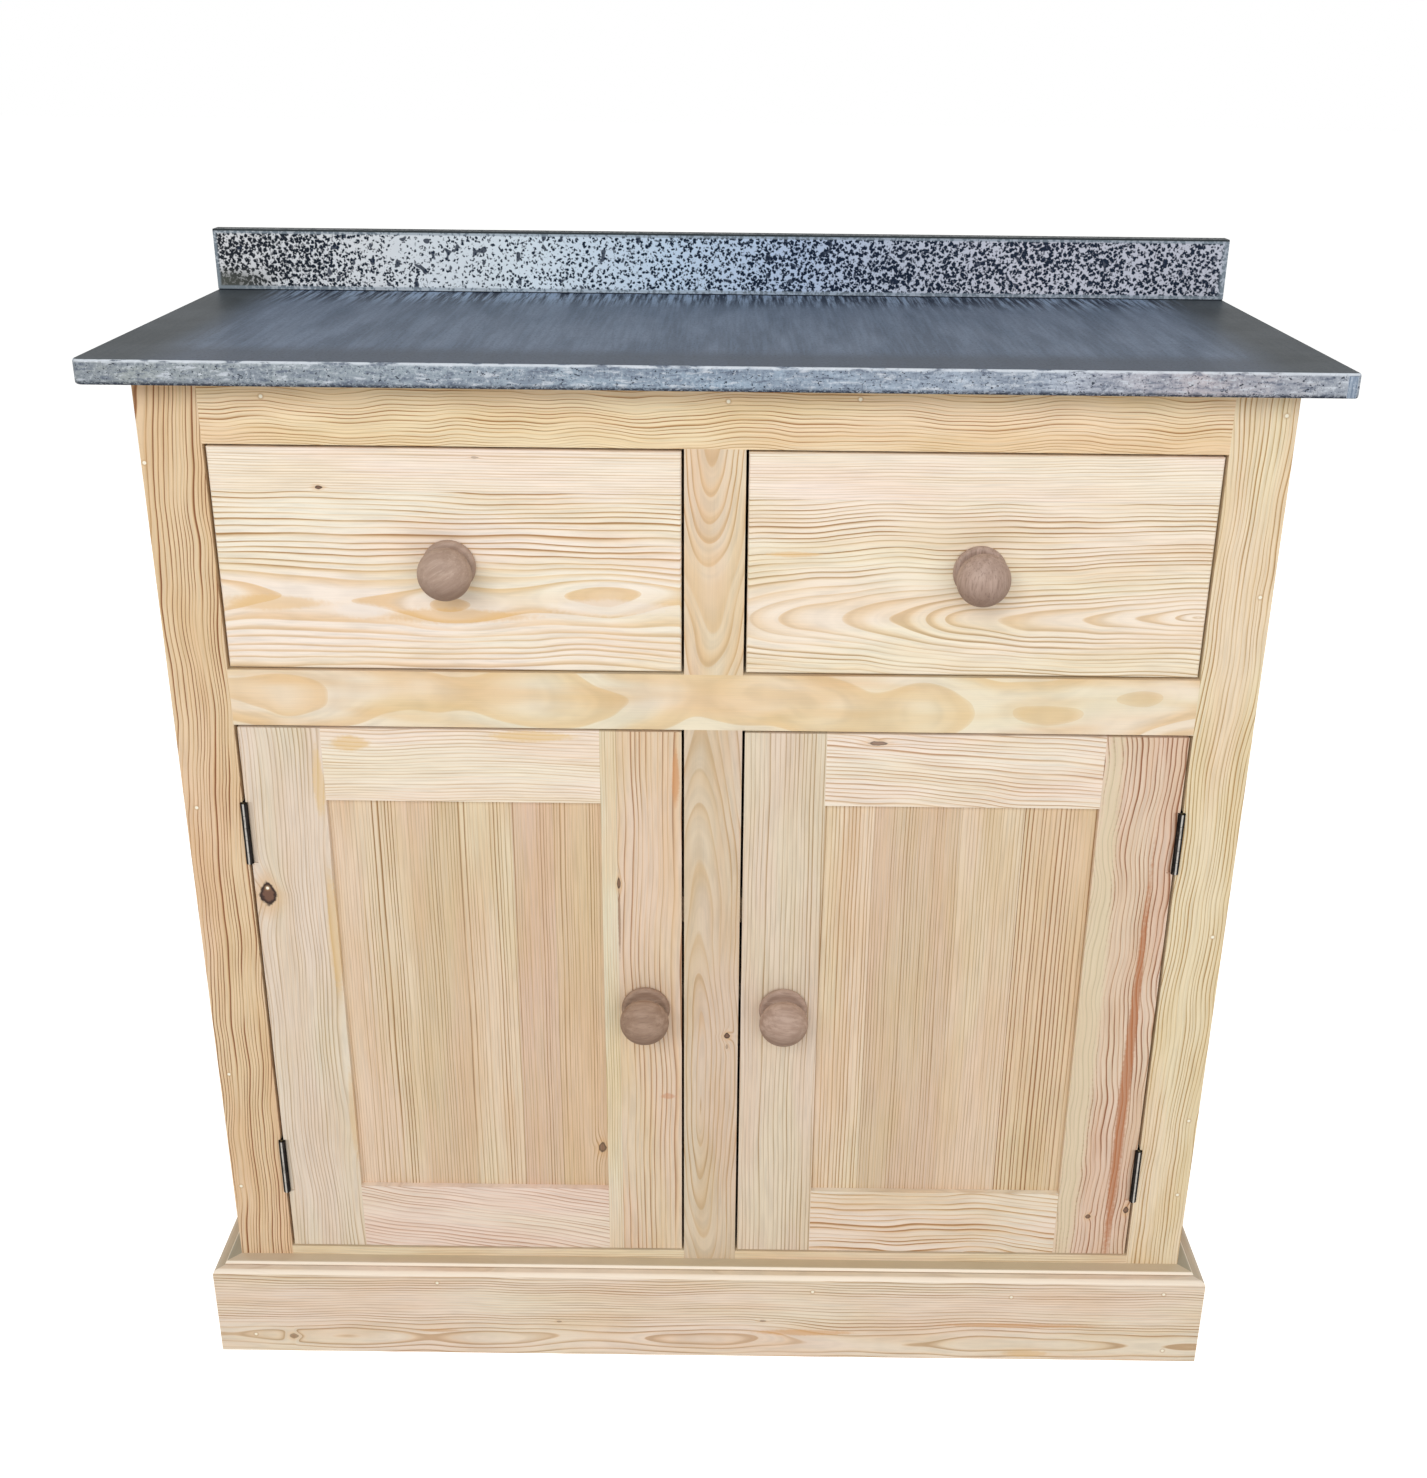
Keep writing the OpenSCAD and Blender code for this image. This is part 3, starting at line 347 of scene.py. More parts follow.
def grain_colour(t, field, base, facing, calmed):
    """Sapwood and heartwood, the warm wood beside each dark line, and the line itself. facing makes the
    lines faint on the board's other faces, and calmed is a list of further factors on them."""
    cloud = t.product(t.remap(field["Cloud"], 0.4, 0.66), base["tint_amount"])
    colour = t.mix(cloud, base["pale"], base["tint"])
    warm = t.product(t.remap(field["Line"], 0.0, 0.55), base["contrast"], 0.55, facing)
    colour = t.mix(warm, colour, base["tint"])
    # where the rings lie flat in the face, the late wood shows as broad warm flames
    flat = t.maths("SUBTRACT", 1.0, field["Crisp"])
    flame = t.product(t.remap(field["Ring"], 0.3, 0.72), flat, base["contrast"])
    colour = t.mix(t.product(flame, 0.5), colour, base["tint"])
    broad = t.scaled(field["Broad"], 1.3, 0.4)
    strength = t.product(broad, base["contrast"], field["Crisp"], facing, *calmed)
    dark_line = t.maths("MULTIPLY", t.remap(field["Line"], 0.22, 0.95), strength, clamp=True)
    colour = t.mix(dark_line, colour, base["line"])
    cast = t.mix(t.remap(field["Broad"], 0.38, 0.62), PINKISH, YELLOWISH)
    return t.mix(1.0, colour, cast, blend="MULTIPLY")


def pore_level(t, field):
    """How the fibres and pores lighten and darken the wood."""
    fibre = t.scaled(field["Fibre"], 0.2, 0.9)
    return t.product(fibre, t.remap(field["Hair"], 0.3, 0.62, 0.9, 1.02))


def painted_patches(t, colour, point, field, patches):
    for a, b, half_a, half_b, tone, amount in patches:
        inside = use(t, KNOT, Point=point, Centre=(a, b, 0.0), Size=(half_a, half_b, 1.0))["Inside"]
        spread = t.product(t.remap(inside, 0.6, 1.15, 1.0, 0.0),
                           t.scaled(field["Ring"], 0.3, 0.7), amount)
        colour = t.mix(spread, colour, srgb(*tone))
    return colour


# Painted highlight and shade on a moulding's members, in bands across the grain
def painted_moulding_light(t, colour, across, field, bands):
    for low, high, tone, amount in bands:
        member = t.product(t.remap(across, low - LIGHT_BAND_FADE, low + LIGHT_BAND_FADE),
                           t.remap(across, high - LIGHT_BAND_FADE, high + LIGHT_BAND_FADE, 1.0, 0.0))
        member = t.product(member, t.scaled(field["Broad"], 0.8, 0.6), amount)
        colour = t.mix(member, colour, srgb(*tone))
    return colour


def painted_holes(t, colour, across, along, dots):
    for a, b in dots:
        off = t.vector("DISTANCE", t.join(across, along, 0.0), (a, b, 0.0))
        colour = t.mix(t.remap(off, HOLE_EDGE_R, STAIN_R, 0.45, 0.0), colour, FILLER_RIM)
        colour = t.mix(t.remap(off, HOLE_R, HOLE_EDGE_R, 1.0, 0.0), colour, FILLER)
    return colour


def pine(name, axes, face, knots=(), swells=(), patches=(), dots=(), staves=(), calm=None, strips=None,
         bands=(), **values):
    """A pine material for one board. axes names the object axes across, along and through the grain, face
    is the place of its face on the last of them, and pith is (across, depth) of the tree's heart.

    staves: (edge, changed values) for each glued strip after the first, by the place of its edge across.
    strips: the width of strips that differ at random, for boards that the photo hides.
    knots: (across, along, half width, half length, push on the rings, darkness).
    swells: the same without a darkness, where the rings only bend.
    patches: (across, along, half width, half length, colour, strength).
    dots: (across, along) of filled nail holes.
    bands: painted highlight and shade on a moulding's members: (from, to, colour, strength) across the
    grain.
    calm: (from, to, share of the lines left at from) across the grain."""
    material, t, coordinates = new_material(name)
    xyz = dict(zip("xyz", t.split(coordinates["Object"])))
    across, along, through = (t.product(xyz[axis], MM) for axis in axes)
    point = t.join(across, along, t.maths("SUBTRACT", through, face))
    base = {**STANDARD, **values}
    base.update({key: srgb(*base[key]) for key in TONES})
    base.update({key: (base[key][0], 0.0, base[key][1]) for key in PLACES})
    mixed_staves(t, across, base, staves)
    if strips:
        strip_level, joint_distance = random_strips(t, across, base, strips)

    bulge, marks = 0.0, []
    for a, b, half_a, half_b, push, dark in [*knots, *((*swell, 0.0) for swell in swells)]:
        found = use(t, KNOT, Point=point, Centre=(a, b, 0.0), Size=(half_a, half_b, 1.0))
        bulge = t.scaled(found["Bulge"], push, bulge)
        if dark:
            marks.append((found, dark))
    field = use(t, RINGS, Point=point, Pith=base["pith"], Slope=base["slope"], Spacing=base["spacing"],
                Wander=base["wander"], Length=base["length"], Seed=base["seed"], Bulge=bulge,
                Soft=base["soft"])

    normal = dict(zip("xyz", t.split(coordinates["Normal"])))
    facing = t.remap(t.maths("ABSOLUTE", normal[axes[2]]), 0.45, 0.9, 0.15, 1.0)
    calmed = [t.remap(across, *calm, 1.0)] if calm else []
    colour = grain_colour(t, field, base, facing, calmed)
    value = pore_level(t, field)
    if strips:
        value = t.product(value, t.scaled(strip_level, 0.09, 0.94),
                          t.remap(joint_distance, 0.15, 0.5, 0.8, 1.0))
    for edge, _ in staves:
        gap = t.maths("ABSOLUTE", t.maths("SUBTRACT", across, edge))
        value = t.product(value, t.remap(gap, 0.2, 0.7, 0.9, 1.0))
    colour = t.mix(1.0, colour, t.join(value, value, value), blend="MULTIPLY")

    colour = painted_patches(t, colour, point, field, patches)
    colour = painted_moulding_light(t, colour, across, field, bands)
    height = t.scaled(field["Line"], 0.6, t.product(field["Fibre"], 0.5))
    for found, dark in marks:
        colour = t.mix(t.product(found["Halo"], 0.45 * dark), colour, AMBER)
        brown = t.mix(t.remap(found["Inside"], 0.45, 0.75), KNOT_INSIDE, KNOT_RIM)
        colour = t.mix(t.product(found["Core"], dark), colour, brown)
        height = t.scaled(found["Core"], -0.8 * dark, height)
    colour = painted_holes(t, colour, across, along, dots)

    roughness = t.scaled(field["Line"], -0.1, t.scaled(field["Fibre"], 0.14, ROUGH - 0.07))
    t.surface(wood_shader(t, colour, roughness, 0.32), height, 0.55)
    return material


# Pine boards

# The object axes across, along and through a board's grain, by how the board lies
RAIL, STILE = ("z", "x", "y"), ("x", "z", "y")
SIDE_STILE, SIDE_RAIL, FLAT, RUNNER = ("y", "z", "x"), ("z", "y", "x"), ("y", "x", "z"), ("x", "y", "z")

FACE, PANEL_FACE = face_of("stile_left", "y", 0), face_of("door_left_panel", "y", 0)
PLINTH_FACE = face_of("plinth_front", "y", 0)

# The glued strip at the top of both drawer fronts, fine and straight in its grain
TOP_STRIP = dict(pith=(1150, 0), spacing=2.6, wander=0.7, contrast=0.6, pale=(250, 235, 219),
                 line=(200, 166, 128), tint_amount=0.15)

# The plinth's moulding with painted light: painted shade on its flat top, a painted highlight on the upper
# round, a painted shadow on the step, a painted highlight on the lower round and painted shade on the line
# under it. On the plinth's sides all its members carry painted shade.
MOULDING_LIGHT = [(109.5, 112.0, (190, 172, 140), 0.7), (107.0, 109.4, (255, 242, 222), 0.9),
            (105.9, 106.8, (150, 120, 90), 0.8), (102.2, 105.7, (255, 240, 220), 0.85),
            (99.6, 100.6, (196, 172, 148), 0.6)]
PLINTH_SIDE = dict(axes=SIDE_RAIL, spacing=3.2, pale=(232, 216, 192), bands=[
    (109.5, 112.0, (150, 140, 118), 0.75), (105.9, 106.9, (110, 98, 82), 0.8),
    (100.6, 105.9, (176, 160, 138), 0.6)])

# Each board that the front shows, with its own cut of the log; its face is FACE where it names no other
BOARDS = {
    "stile_left": dict(
        axes=STILE, pith=(-549, 22), slope=(0.045, 0.0), spacing=3.1, wander=2.0, length=110, soft=0.3,
        contrast=1.5, pale=(232, 204, 170), line=(138, 88, 54), tint=(216, 175, 126), seed=2.0,
        dots=[(-497, 966), (-489, 635), (-490, 336), (-492, 197)]),
    "stile_right": dict(
        axes=STILE, pith=(410, 14), slope=(0.02, 0.0), spacing=3.5, wander=2.4, length=130, soft=0.3,
        contrast=0.95, pale=(238, 220, 190), line=(176, 136, 86), tint=(226, 198, 150), seed=5.0,
        dots=[(490, 1018), (489, 855), (489, 508), (491, 293), (490, 200)]),
    "top_rail": dict(
        axes=RAIL, pith=(1085, 14), spacing=3.1, wander=2.4, length=90, soft=0.3, contrast=1.05,
        pale=(243, 221, 187), line=(168, 122, 74), tint=(230, 194, 142), seed=3.0,
        dots=[(1025, -390), (1025, 11), (1028, 124)]),
    "mid_rail": dict(
        axes=RAIL, pith=(750, 70), slope=(0.0, 0.02), spacing=7.5, wander=3.4, length=130, soft=1.0,
        contrast=0.75, pale=(240, 226, 202), line=(204, 160, 108), tint=(228, 192, 138), tint_amount=0.6,
        seed=7.0),
    "bottom_rail": dict(
        axes=RAIL, pith=(60, 30), spacing=3.2, contrast=0.6, pale=(238, 220, 192), seed=9.0),
    "upper_muntin": dict(
        axes=STILE, pith=(-3, 152), slope=(0.0, -0.135), spacing=4.4, wander=1.6, length=100, soft=0.7,
        contrast=0.85, pale=(232, 212, 186), line=(190, 146, 98), tint=(222, 186, 140), seed=12.0),
    "lower_muntin": dict(
        axes=STILE, pith=(-9, 30), slope=(0.0, -0.09), spacing=4.6, wander=2.6, length=170, soft=0.6,
        contrast=0.6, pale=(221, 201, 178), line=(180, 140, 96), tint=(209, 175, 133), seed=14.0,
        knots=[(16, 389, 3.2, 3.6, 7.0, 0.95), (16, 376, 1.6, 3.0, 2.0, 0.4)]),
    "plinth_front": dict(
        axes=RAIL, face=PLINTH_FACE, pith=(20, 20), slope=(0.0, 0.002), spacing=3.3, wander=2.2,
        length=170, contrast=1.1, pale=(238, 222, 203), line=(176, 138, 102), tint=(226, 196, 160),
        seed=16.0, bands=MOULDING_LIGHT,
        knots=[(20, -446, 3.6, 5.0, 4.0, 0.5), (44, -160, 1.2, 3.0, 1.0, 0.5),
               (48, 58, 1.2, 4.0, 1.5, 0.6)],
        patches=[(30, -288, 2.6, 24, (206, 160, 112), 0.7), (33, 104, 4.6, 58, (214, 164, 112), 0.8),
                 (46, 334, 3.2, 96, (208, 158, 110), 0.75), (8, 342, 5.0, 28, (222, 184, 130), 0.7)],
        dots=[(94, -288), (22, -487), (88, 110), (84, 321), (90, 482), (14, 489)]),
    "plinth_left": dict(PLINTH_SIDE, face=face_of("plinth_left", "x", 0), pith=(10, 40), seed=17.0),
    "plinth_right": dict(PLINTH_SIDE, face=face_of("plinth_right", "x", 1), pith=(90, -40), seed=18.0),
    "drawer_left_front": dict(
        axes=RAIL, pith=(842, 40), slope=(0.0, 0.012), spacing=4.8, wander=3.0, length=180, soft=0.9,
        contrast=1.15, pale=(248, 236, 220), line=(176, 134, 88), tint=(232, 197, 148), tint_amount=0.25,
        seed=21.0, calm=(830, 904, 0.35), swells=[(856, -93, 10, 40, -9.0)],
        patches=[(829, -232, 8, 74, (230, 188, 130), 0.85), (840, -396, 8, 52, (232, 194, 140), 0.8),
                 (833, -316, 8, 30, (244, 232, 222), 0.6), (838, -92, 9, 60, (246, 234, 226), 0.5)],
        knots=[(946, -347, 1.8, 3.6, 1.0, 0.95), (974, -209, 1.2, 3.5, 0.8, 0.35)],
        staves=[(943, TOP_STRIP)]),
    "drawer_right_front": dict(
        axes=RAIL, pith=(832, 44), slope=(0.0, -0.1), spacing=4.1, wander=2.0, length=120, soft=0.6,
        contrast=1.15, pale=(247, 234, 214), line=(172, 134, 90), tint=(230, 200, 156), tint_amount=0.3,
        seed=24.0, calm=(862, 906, 0.6), patches=[(890, 72, 3, 26, (232, 190, 132), 0.7)],
        staves=[(940, TOP_STRIP)]),
    "door_left_hinge_stile": dict(
        axes=STILE, pith=(-352, 24), slope=(0.0, 0.01), spacing=3.3, wander=1.8, length=150,
        contrast=0.75, pale=(232, 217, 198), line=(180, 150, 114), tint=(220, 196, 164), seed=31.0,
        knots=[(-430, 544, 9.0, 13.5, 9.0, 1.0)], dots=[(-430, 550)],
        patches=[(-371, 664, 6, 40, (226, 192, 138), 0.75), (-369, 500, 7, 76, (222, 186, 132), 0.8),
                 (-367, 290, 4, 60, (224, 190, 140), 0.6)]),
    "door_left_top_rail": dict(
        axes=RAIL, pith=(760, 30), spacing=3.2, wander=2.0, length=150, contrast=0.7,
        pale=(246, 232, 214), line=(198, 162, 122), tint_amount=0.2, seed=33.0,
        patches=[(703, -338, 9, 20, (228, 192, 136), 0.85), (712, -168, 6, 44, (230, 196, 142), 0.85)]),
    "door_left_bottom_rail": dict(
        axes=RAIL, pith=(30, 8), slope=(-0.16, 0.0), spacing=4.6, wander=1.8, length=130, contrast=1.05,
        pale=(240, 222, 206), line=(190, 150, 124), tint=(226, 192, 164), tint_amount=0.2, seed=35.0),
    "door_left_meeting_stile": dict(
        axes=STILE, pith=(-140, 8), spacing=3.0, wander=0.8, length=200, contrast=0.8,
        pale=(232, 219, 194), line=(184, 158, 112), seed=37.0,
        staves=[(-91, dict(pith=(10, 34), spacing=5.0, wander=2.2, contrast=1.15, pale=(228, 206, 182),
                           line=(172, 130, 98)))],
        knots=[(-90, 560, 1.9, 6.5, 5.0, 0.85)],
        patches=[(-35, 672, 4, 32, (208, 148, 98), 0.8), (-43, 316, 8, 4, (200, 142, 106), 0.7),
                 (-90, 525, 1.4, 50, (136, 96, 68), 0.75)]),
    "door_left_panel": dict(
        axes=STILE, face=PANEL_FACE, pith=(-430, 6), spacing=2.9, wander=0.8, length=240, contrast=0.8,
        pale=(232, 210, 184), line=(178, 140, 100), tint=(216, 184, 142), seed=41.0,
        staves=[(-341, dict(pith=(-480, 6), spacing=3.8, contrast=1.05, line=(156, 118, 76))),
                (-291, dict(pith=(-480, 30), spacing=3.2, contrast=0.8, pale=(222, 198, 168),
                            line=(170, 134, 96))),
                (-243, dict(pith=(-90, 6), spacing=3.6, contrast=1.0, pale=(232, 212, 184))),
                (-192, dict(pith=(-60, 6), spacing=3.2, contrast=0.9, pale=(222, 195, 170),
                            line=(170, 130, 98))),
                (-153, dict(pith=(-20, 10), spacing=3.0, contrast=0.9, pale=(224, 198, 166),
                            line=(168, 132, 90)))],
        knots=[(-112, 247, 4.5, 7.0, 4.0, 0.8)]),
    "door_right_meeting_stile": dict(
        axes=STILE, pith=(-30, 16), spacing=4.4, wander=1.2, length=200, contrast=0.9,
        pale=(230, 213, 192), line=(174, 142, 106), tint=(216, 192, 162), seed=44.0),
    "door_right_top_rail": dict(
        axes=RAIL, pith=(590, 14), slope=(-0.06, 0.0), spacing=4.4, wander=2.2, length=120, contrast=0.95,
        pale=(246, 232, 216), line=(190, 150, 116), tint_amount=0.2, seed=46.0,
        knots=[(709, 154, 2.4, 10.0, 4.0, 0.75)]),
    "door_right_bottom_rail": dict(
        axes=RAIL, pith=(98, 30), slope=(-0.03, 0.0), spacing=5.6, wander=3.2, length=110, contrast=1.35,
        pale=(240, 226, 208), line=(174, 130, 84), tint=(222, 184, 138), seed=48.0, calm=(170, 152, 0.5)),
    "door_right_hinge_stile": dict(
        axes=STILE, pith=(318, 18), slope=(-0.01, 0.0), spacing=4.6, wander=3.4, length=100, soft=0.3,
        contrast=1.45, pale=(230, 206, 184), line=(146, 98, 68), tint=(210, 168, 134), seed=51.0,
        knots=[(399, 171, 3.0, 3.0, 3.0, 0.85), (438, 180, 3.0, 5.0, 3.0, 0.9)],
        patches=[(375, 420, 16, 420, (226, 212, 178), 0.75),
                 (421.5, 340, 6.0, 262, (178, 112, 70), 0.95)]),
    "door_right_panel": dict(
        axes=STILE, face=PANEL_FACE, pith=(20, 4), spacing=4.0, wander=0.8, length=240, contrast=0.95,
        pale=(234, 214, 188), line=(174, 134, 92), tint=(216, 184, 142), seed=55.0,
        staves=[(154, dict(pith=(40, 4), spacing=3.0, contrast=0.9, pale=(220, 196, 170),
                           line=(166, 130, 96))),
                (236, dict(pith=(170, 30), spacing=3.4, contrast=0.6, pale=(230, 208, 182),
                           line=(180, 146, 108))),
                (297, dict(pith=(180, 6), spacing=4.2, contrast=1.2, pale=(228, 204, 172),
                           line=(152, 108, 68)))]),
}
for name, values in BOARDS.items():
    dress(pine(name + "_pine", **{"face": FACE, **values}), name)

# The boards of the sides, the back and the inside. Where a material serves boards at several places, face
# is only a level near them.
SIDE = dict(axes=SIDE_STILE, strips=92, spacing=3.6, contrast=0.8, pale=(234, 214, 184))
HIDDEN_BOARDS = {
    "side_pine": (["side_left"], dict(SIDE, face=face_of("side_left", "x", 0), seed=61.0)),
    "side_right_pine": (["side_right"], dict(SIDE, face=face_of("side_right", "x", 1), seed=62.0)),
    "back_pine": (
        ["back_boards"],
        dict(axes=STILE, face=228.0, strips=98, spacing=3.6, pale=(228, 206, 176), seed=63.0)),
    "shelf_pine": (
        ["base_board", "shelf"],
        dict(axes=FLAT, face=400.0, strips=88, spacing=3.6, pale=(230, 208, 178), seed=65.0)),
    "inner_rail_pine": (
        ["top_rear_rail", "drawer_bearer", "mid_rear_rail", "drawer_stops", "door_stop"],
        dict(axes=FLAT, face=700.0, pith=(30, 40), pale=(228, 206, 174), seed=67.0)),
    "runner_pine": (
        ["drawer_runners", "drawer_kickers"],
        dict(axes=RUNNER, face=760.0, pith=(30, 40), pale=(230, 208, 176), seed=69.0)),
    "drawer_side_pine": (
        ["drawer_left_outer_side", "drawer_left_inner_side",
         "drawer_right_outer_side", "drawer_right_inner_side"],
        dict(axes=SIDE_RAIL, face=0.0, pith=(860, 30), spacing=3.2, pale=(236, 218, 192), seed=71.0)),
    "drawer_back_pine": (
        ["drawer_left_back", "drawer_right_back"],
        dict(axes=RAIL, face=170.0, pith=(850, 30), pale=(236, 218, 192), seed=73.0)),
    "drawer_bottom_pine": (
        ["drawer_left_bottom", "drawer_right_bottom"],
        dict(axes=FLAT, face=790.0, strips=85, contrast=0.6, pale=(238, 222, 196), seed=75.0)),
    "worktop_core_pine": (
        ["worktop_board", "upstand_board"],
        dict(axes=FLAT, face=1045.0, strips=90, pale=(228, 206, 174), seed=77.0)),
}
for name, (boards, values) in HIDDEN_BOARDS.items():
    dress(pine(name, **values), *boards)


# Knobs

SCRATCH, DARK_LINE, PORE = srgb(206, 184, 166), srgb(118, 93, 80), srgb(126, 100, 86)
# Painted shade underneath and on the neck, and a painted highlight on the head's back rim
UNDERSIDE_SHADE, NECK_SHADE, RIM_HIGHLIGHT = srgb(104, 78, 64), srgb(92, 66, 52), srgb(206, 182, 164)

# Depths along a knob, from the cupboard's face and negative outwards: the two ends of the painted shade on
# its neck, each from none to full, and how far out the painted highlight on the head's back rim is
NECK_SHADE_FOOT, NECK_SHADE_HEAD = (-11.0, -15.0), (-21.5, -20.0)
RIM_HIGHLIGHT_OUT = 25.0


def knob_wood(name, turned, light, dark, scratches=0.0, lines=0.0):
    """Turned brown hardwood, with painted shade on the neck and underneath and a painted highlight on the
    head's back rim. turned is the lie of its grain on the front, in degrees; scratches are pale and lines
    are dark, from 0 to 1."""
    material, t, coordinates = new_material(name)
    spun = t.add("ShaderNodeVectorRotate", {"rotation_type": "Y_AXIS"}, Vector=coordinates["Object"])
    spun.inputs["Angle"].default_value = math.radians(turned)
    point = t.vector("SCALE", spun.outputs[0], scale=MM)
    band = t.noise(t.stretch(point, 0.03, 0.2, 0.2), 1.0, 2.0)
    hair = t.noise(t.stretch(point, 0.035, 0.75, 0.75), 1.0, 2.0, 0.6)
    pore = t.noise(t.stretch(point, 0.22, 1.4, 1.4), 1.0, 2.0, 0.6)
    colour = t.mix(t.remap(band, 0.34, 0.68), srgb(*dark), srgb(*light))
    colour = t.mark(colour, hair, 0.54, 0.68, scratches, SCRATCH)
    colour = t.mark(colour, hair, 0.46, 0.36, lines, DARK_LINE)
    colour = t.mark(colour, pore, 0.42, 0.3, 0.3, PORE)

    # painted shade on the faces that turn downwards and on the neck behind the head
    upward = t.split(coordinates["Normal"])[2]
    depth = t.scaled(t.split(coordinates["Object"])[1], MM, -FACE)
    colour = t.mark(colour, upward, 0.25, -0.75, 0.6, UNDERSIDE_SHADE)
    neck = t.product(t.remap(depth, *NECK_SHADE_FOOT), t.remap(depth, *NECK_SHADE_HEAD))
    colour = t.mix(t.product(neck, 0.6), colour, NECK_SHADE)
    # a painted highlight round the head's back rim
    off_rim = t.maths("ABSOLUTE", t.maths("ADD", depth, RIM_HIGHLIGHT_OUT))
    colour = t.mark(colour, off_rim, 2.2, 1.0, 0.5, RIM_HIGHLIGHT)
    shader = wood_shader(t, colour, t.remap(pore, 0.3, 0.7, 0.48, 0.62), 0.3)
    t.surface(shader, t.maths("ADD", pore, hair), 0.35)
    return material


KNOBS = {
    "drawer_left": dict(turned=32, light=(184, 158, 141), dark=(170, 144, 127), scratches=0.3),
    "drawer_right": dict(turned=90, light=(190, 164, 149), dark=(174, 148, 133), lines=0.4),
    "door_left": dict(turned=6, light=(172, 144, 124), dark=(152, 124, 104), lines=0.25),
    "door_right": dict(turned=-8, light=(190, 163, 146), dark=(170, 142, 125), lines=0.2),
}
for owner, values in KNOBS.items():
    dress(knob_wood("knob_wood_and_light_" + owner, **values), owner + "_knob")


# Zinc and steel

METAL_TINT, DULL_TINT = (0.4, 0.42, 0.45, 1.0), (0.2, 0.2, 0.22, 1.0)


def metal(name, build, roughness, metallic, specular=0.12, tint=METAL_TINT):
    """A metal whose colour, gloss and height come from the build function."""
    material, t, coordinates = new_material(name)
    point = t.vector("SCALE", coordinates["Object"], scale=MM)
    colour, gloss, height = build(t, point, t.split(coordinates["Normal"]))
    shader = t.add("ShaderNodeBsdfPrincipled", Base_Color=colour, Metallic=metallic,
                   Roughness=t.scaled(gloss, 0.2, roughness - 0.1), Specular_IOR_Level=specular,
                   Specular_Tint=tint)
    t.surface(shader, height, 0.35, 0.00015)
    return material


TOP_X, TOP_Y, TOP_Z = spans_of("worktop_zinc")
UP_X, UP_Y, UP_Z = spans_of("upstand_zinc")

# The worktop's colours: its dark patina, a painted bluish reflection of the upstand in the middle with
# painted pale and dark reflected streaks, a duller band at its front, and scuffs and specks on them
PATINA, PATINA_PALE = srgb(66, 72, 75), srgb(78, 84, 88)
REFLECTION, REFLECTION_PALE = srgb(100, 113, 131), srgb(119, 132, 151)
REFLECTED_STREAK_PALE, REFLECTED_STREAK_DARK = srgb(158, 178, 204), srgb(30, 40, 58)
SCUFF, FRONT_BAND, SPECK = srgb(74, 82, 94), srgb(88, 95, 106), srgb(56, 62, 70)

# Half the length of the painted reflection in the middle and how far its ends fade, the reach of its
# painted streaks from the upstand, and the width of its duller band at the front, each between its start
# and its end
REFLECTION_HALF, REFLECTION_FADE = 466.0, 30.0
REFLECTED_STREAK_REACH, BAND_W = (110.0, 15.0), (90.0, 40.0)


def zinc_top_colour_and_reflection(t, point):
    """Dark patina, with a painted bluish reflection of the upstand between the ends, whose painted streaks
    run out from the upstand.
    """
    x, y, _ = t.split(point)
    cloud = t.noise(t.stretch(point, 0.008, 0.012, 0.012), 1.0, 3.0, 0.55)
    streak = t.noise(t.stretch(point, 0.22, 0.01, 0.01), 1.0, 4.0, 0.7)
    wide = t.noise(t.stretch(point, 0.03, 0.006, 0.01), 1.0, 2.0)
    scuff = t.noise(t.stretch(point, 0.006, 0.32, 0.1), 1.0, 3.0, 0.6)
    speck = t.noise(point, 0.42, 3.0, 0.6)
    outside = t.mix(t.remap(cloud, 0.36, 0.64), PATINA, PATINA_PALE)
    # painted reflection of the upstand: bluish, with pale and dark streaks strongest near the joint
    inside = t.mix(t.remap(wide, 0.36, 0.64), REFLECTION, REFLECTION_PALE)
    near_joint = t.remap(y, UP_Y[0] - REFLECTED_STREAK_REACH[0], UP_Y[0] - REFLECTED_STREAK_REACH[1])
    pale_reflected_streak = t.product(t.remap(streak, 0.49, 0.6), t.scaled(near_joint, 0.85, 0.12))
    dark_reflected_streak = t.product(t.remap(streak, 0.51, 0.41), t.scaled(near_joint, 0.9, 0.12))
    inside = t.mix(pale_reflected_streak, inside, REFLECTED_STREAK_PALE)
    inside = t.mix(dark_reflected_streak, inside, REFLECTED_STREAK_DARK)
    inside = t.mark(inside, scuff, 0.6, 0.7, 0.3, SCUFF)
    inside = t.mark(inside, y, TOP_Y[0] + BAND_W[0], TOP_Y[0] + BAND_W[1], 0.8, FRONT_BAND)
    # the painted reflection lies between the ends and fades out towards them
    reflection_mask = t.remap(t.maths("ABSOLUTE", x), REFLECTION_HALF + REFLECTION_FADE, REFLECTION_HALF - REFLECTION_FADE)
    colour = t.mix(reflection_mask, outside, inside)
    colour = t.mark(colour, speck, 0.5, 0.68, 0.35, SPECK)
    return colour, t.scaled(streak, 0.5, t.product(speck, 0.5))


# The turned-down edge's colours: its tone from left to right, lighter than the top partly by wear and
# partly as a painted reflection, and the marks on it, with a painted highlight and painted shade at its
# arrises
EDGE_TONES_AND_REFLECTION = [(0.0, srgb(160, 165, 164)), (0.3, srgb(154, 165, 175)), (0.5, srgb(156, 173, 190)),
              (0.75, srgb(172, 182, 196)), (0.88, srgb(192, 184, 188)), (1.0, srgb(176, 183, 191))]
EDGE_CLOUD, EDGE_PIT = srgb(118, 127, 142), srgb(40, 45, 58)
SMEAR_PALE, SMEAR_DARK = srgb(208, 213, 220), srgb(96, 105, 122)
MOTTLE_PALE, MOTTLE_DARK = srgb(216, 221, 228), srgb(78, 86, 104)
LOWER_ARRIS_SHADE, UPPER_ARRIS_HIGHLIGHT = srgb(54, 60, 72), srgb(222, 227, 233)


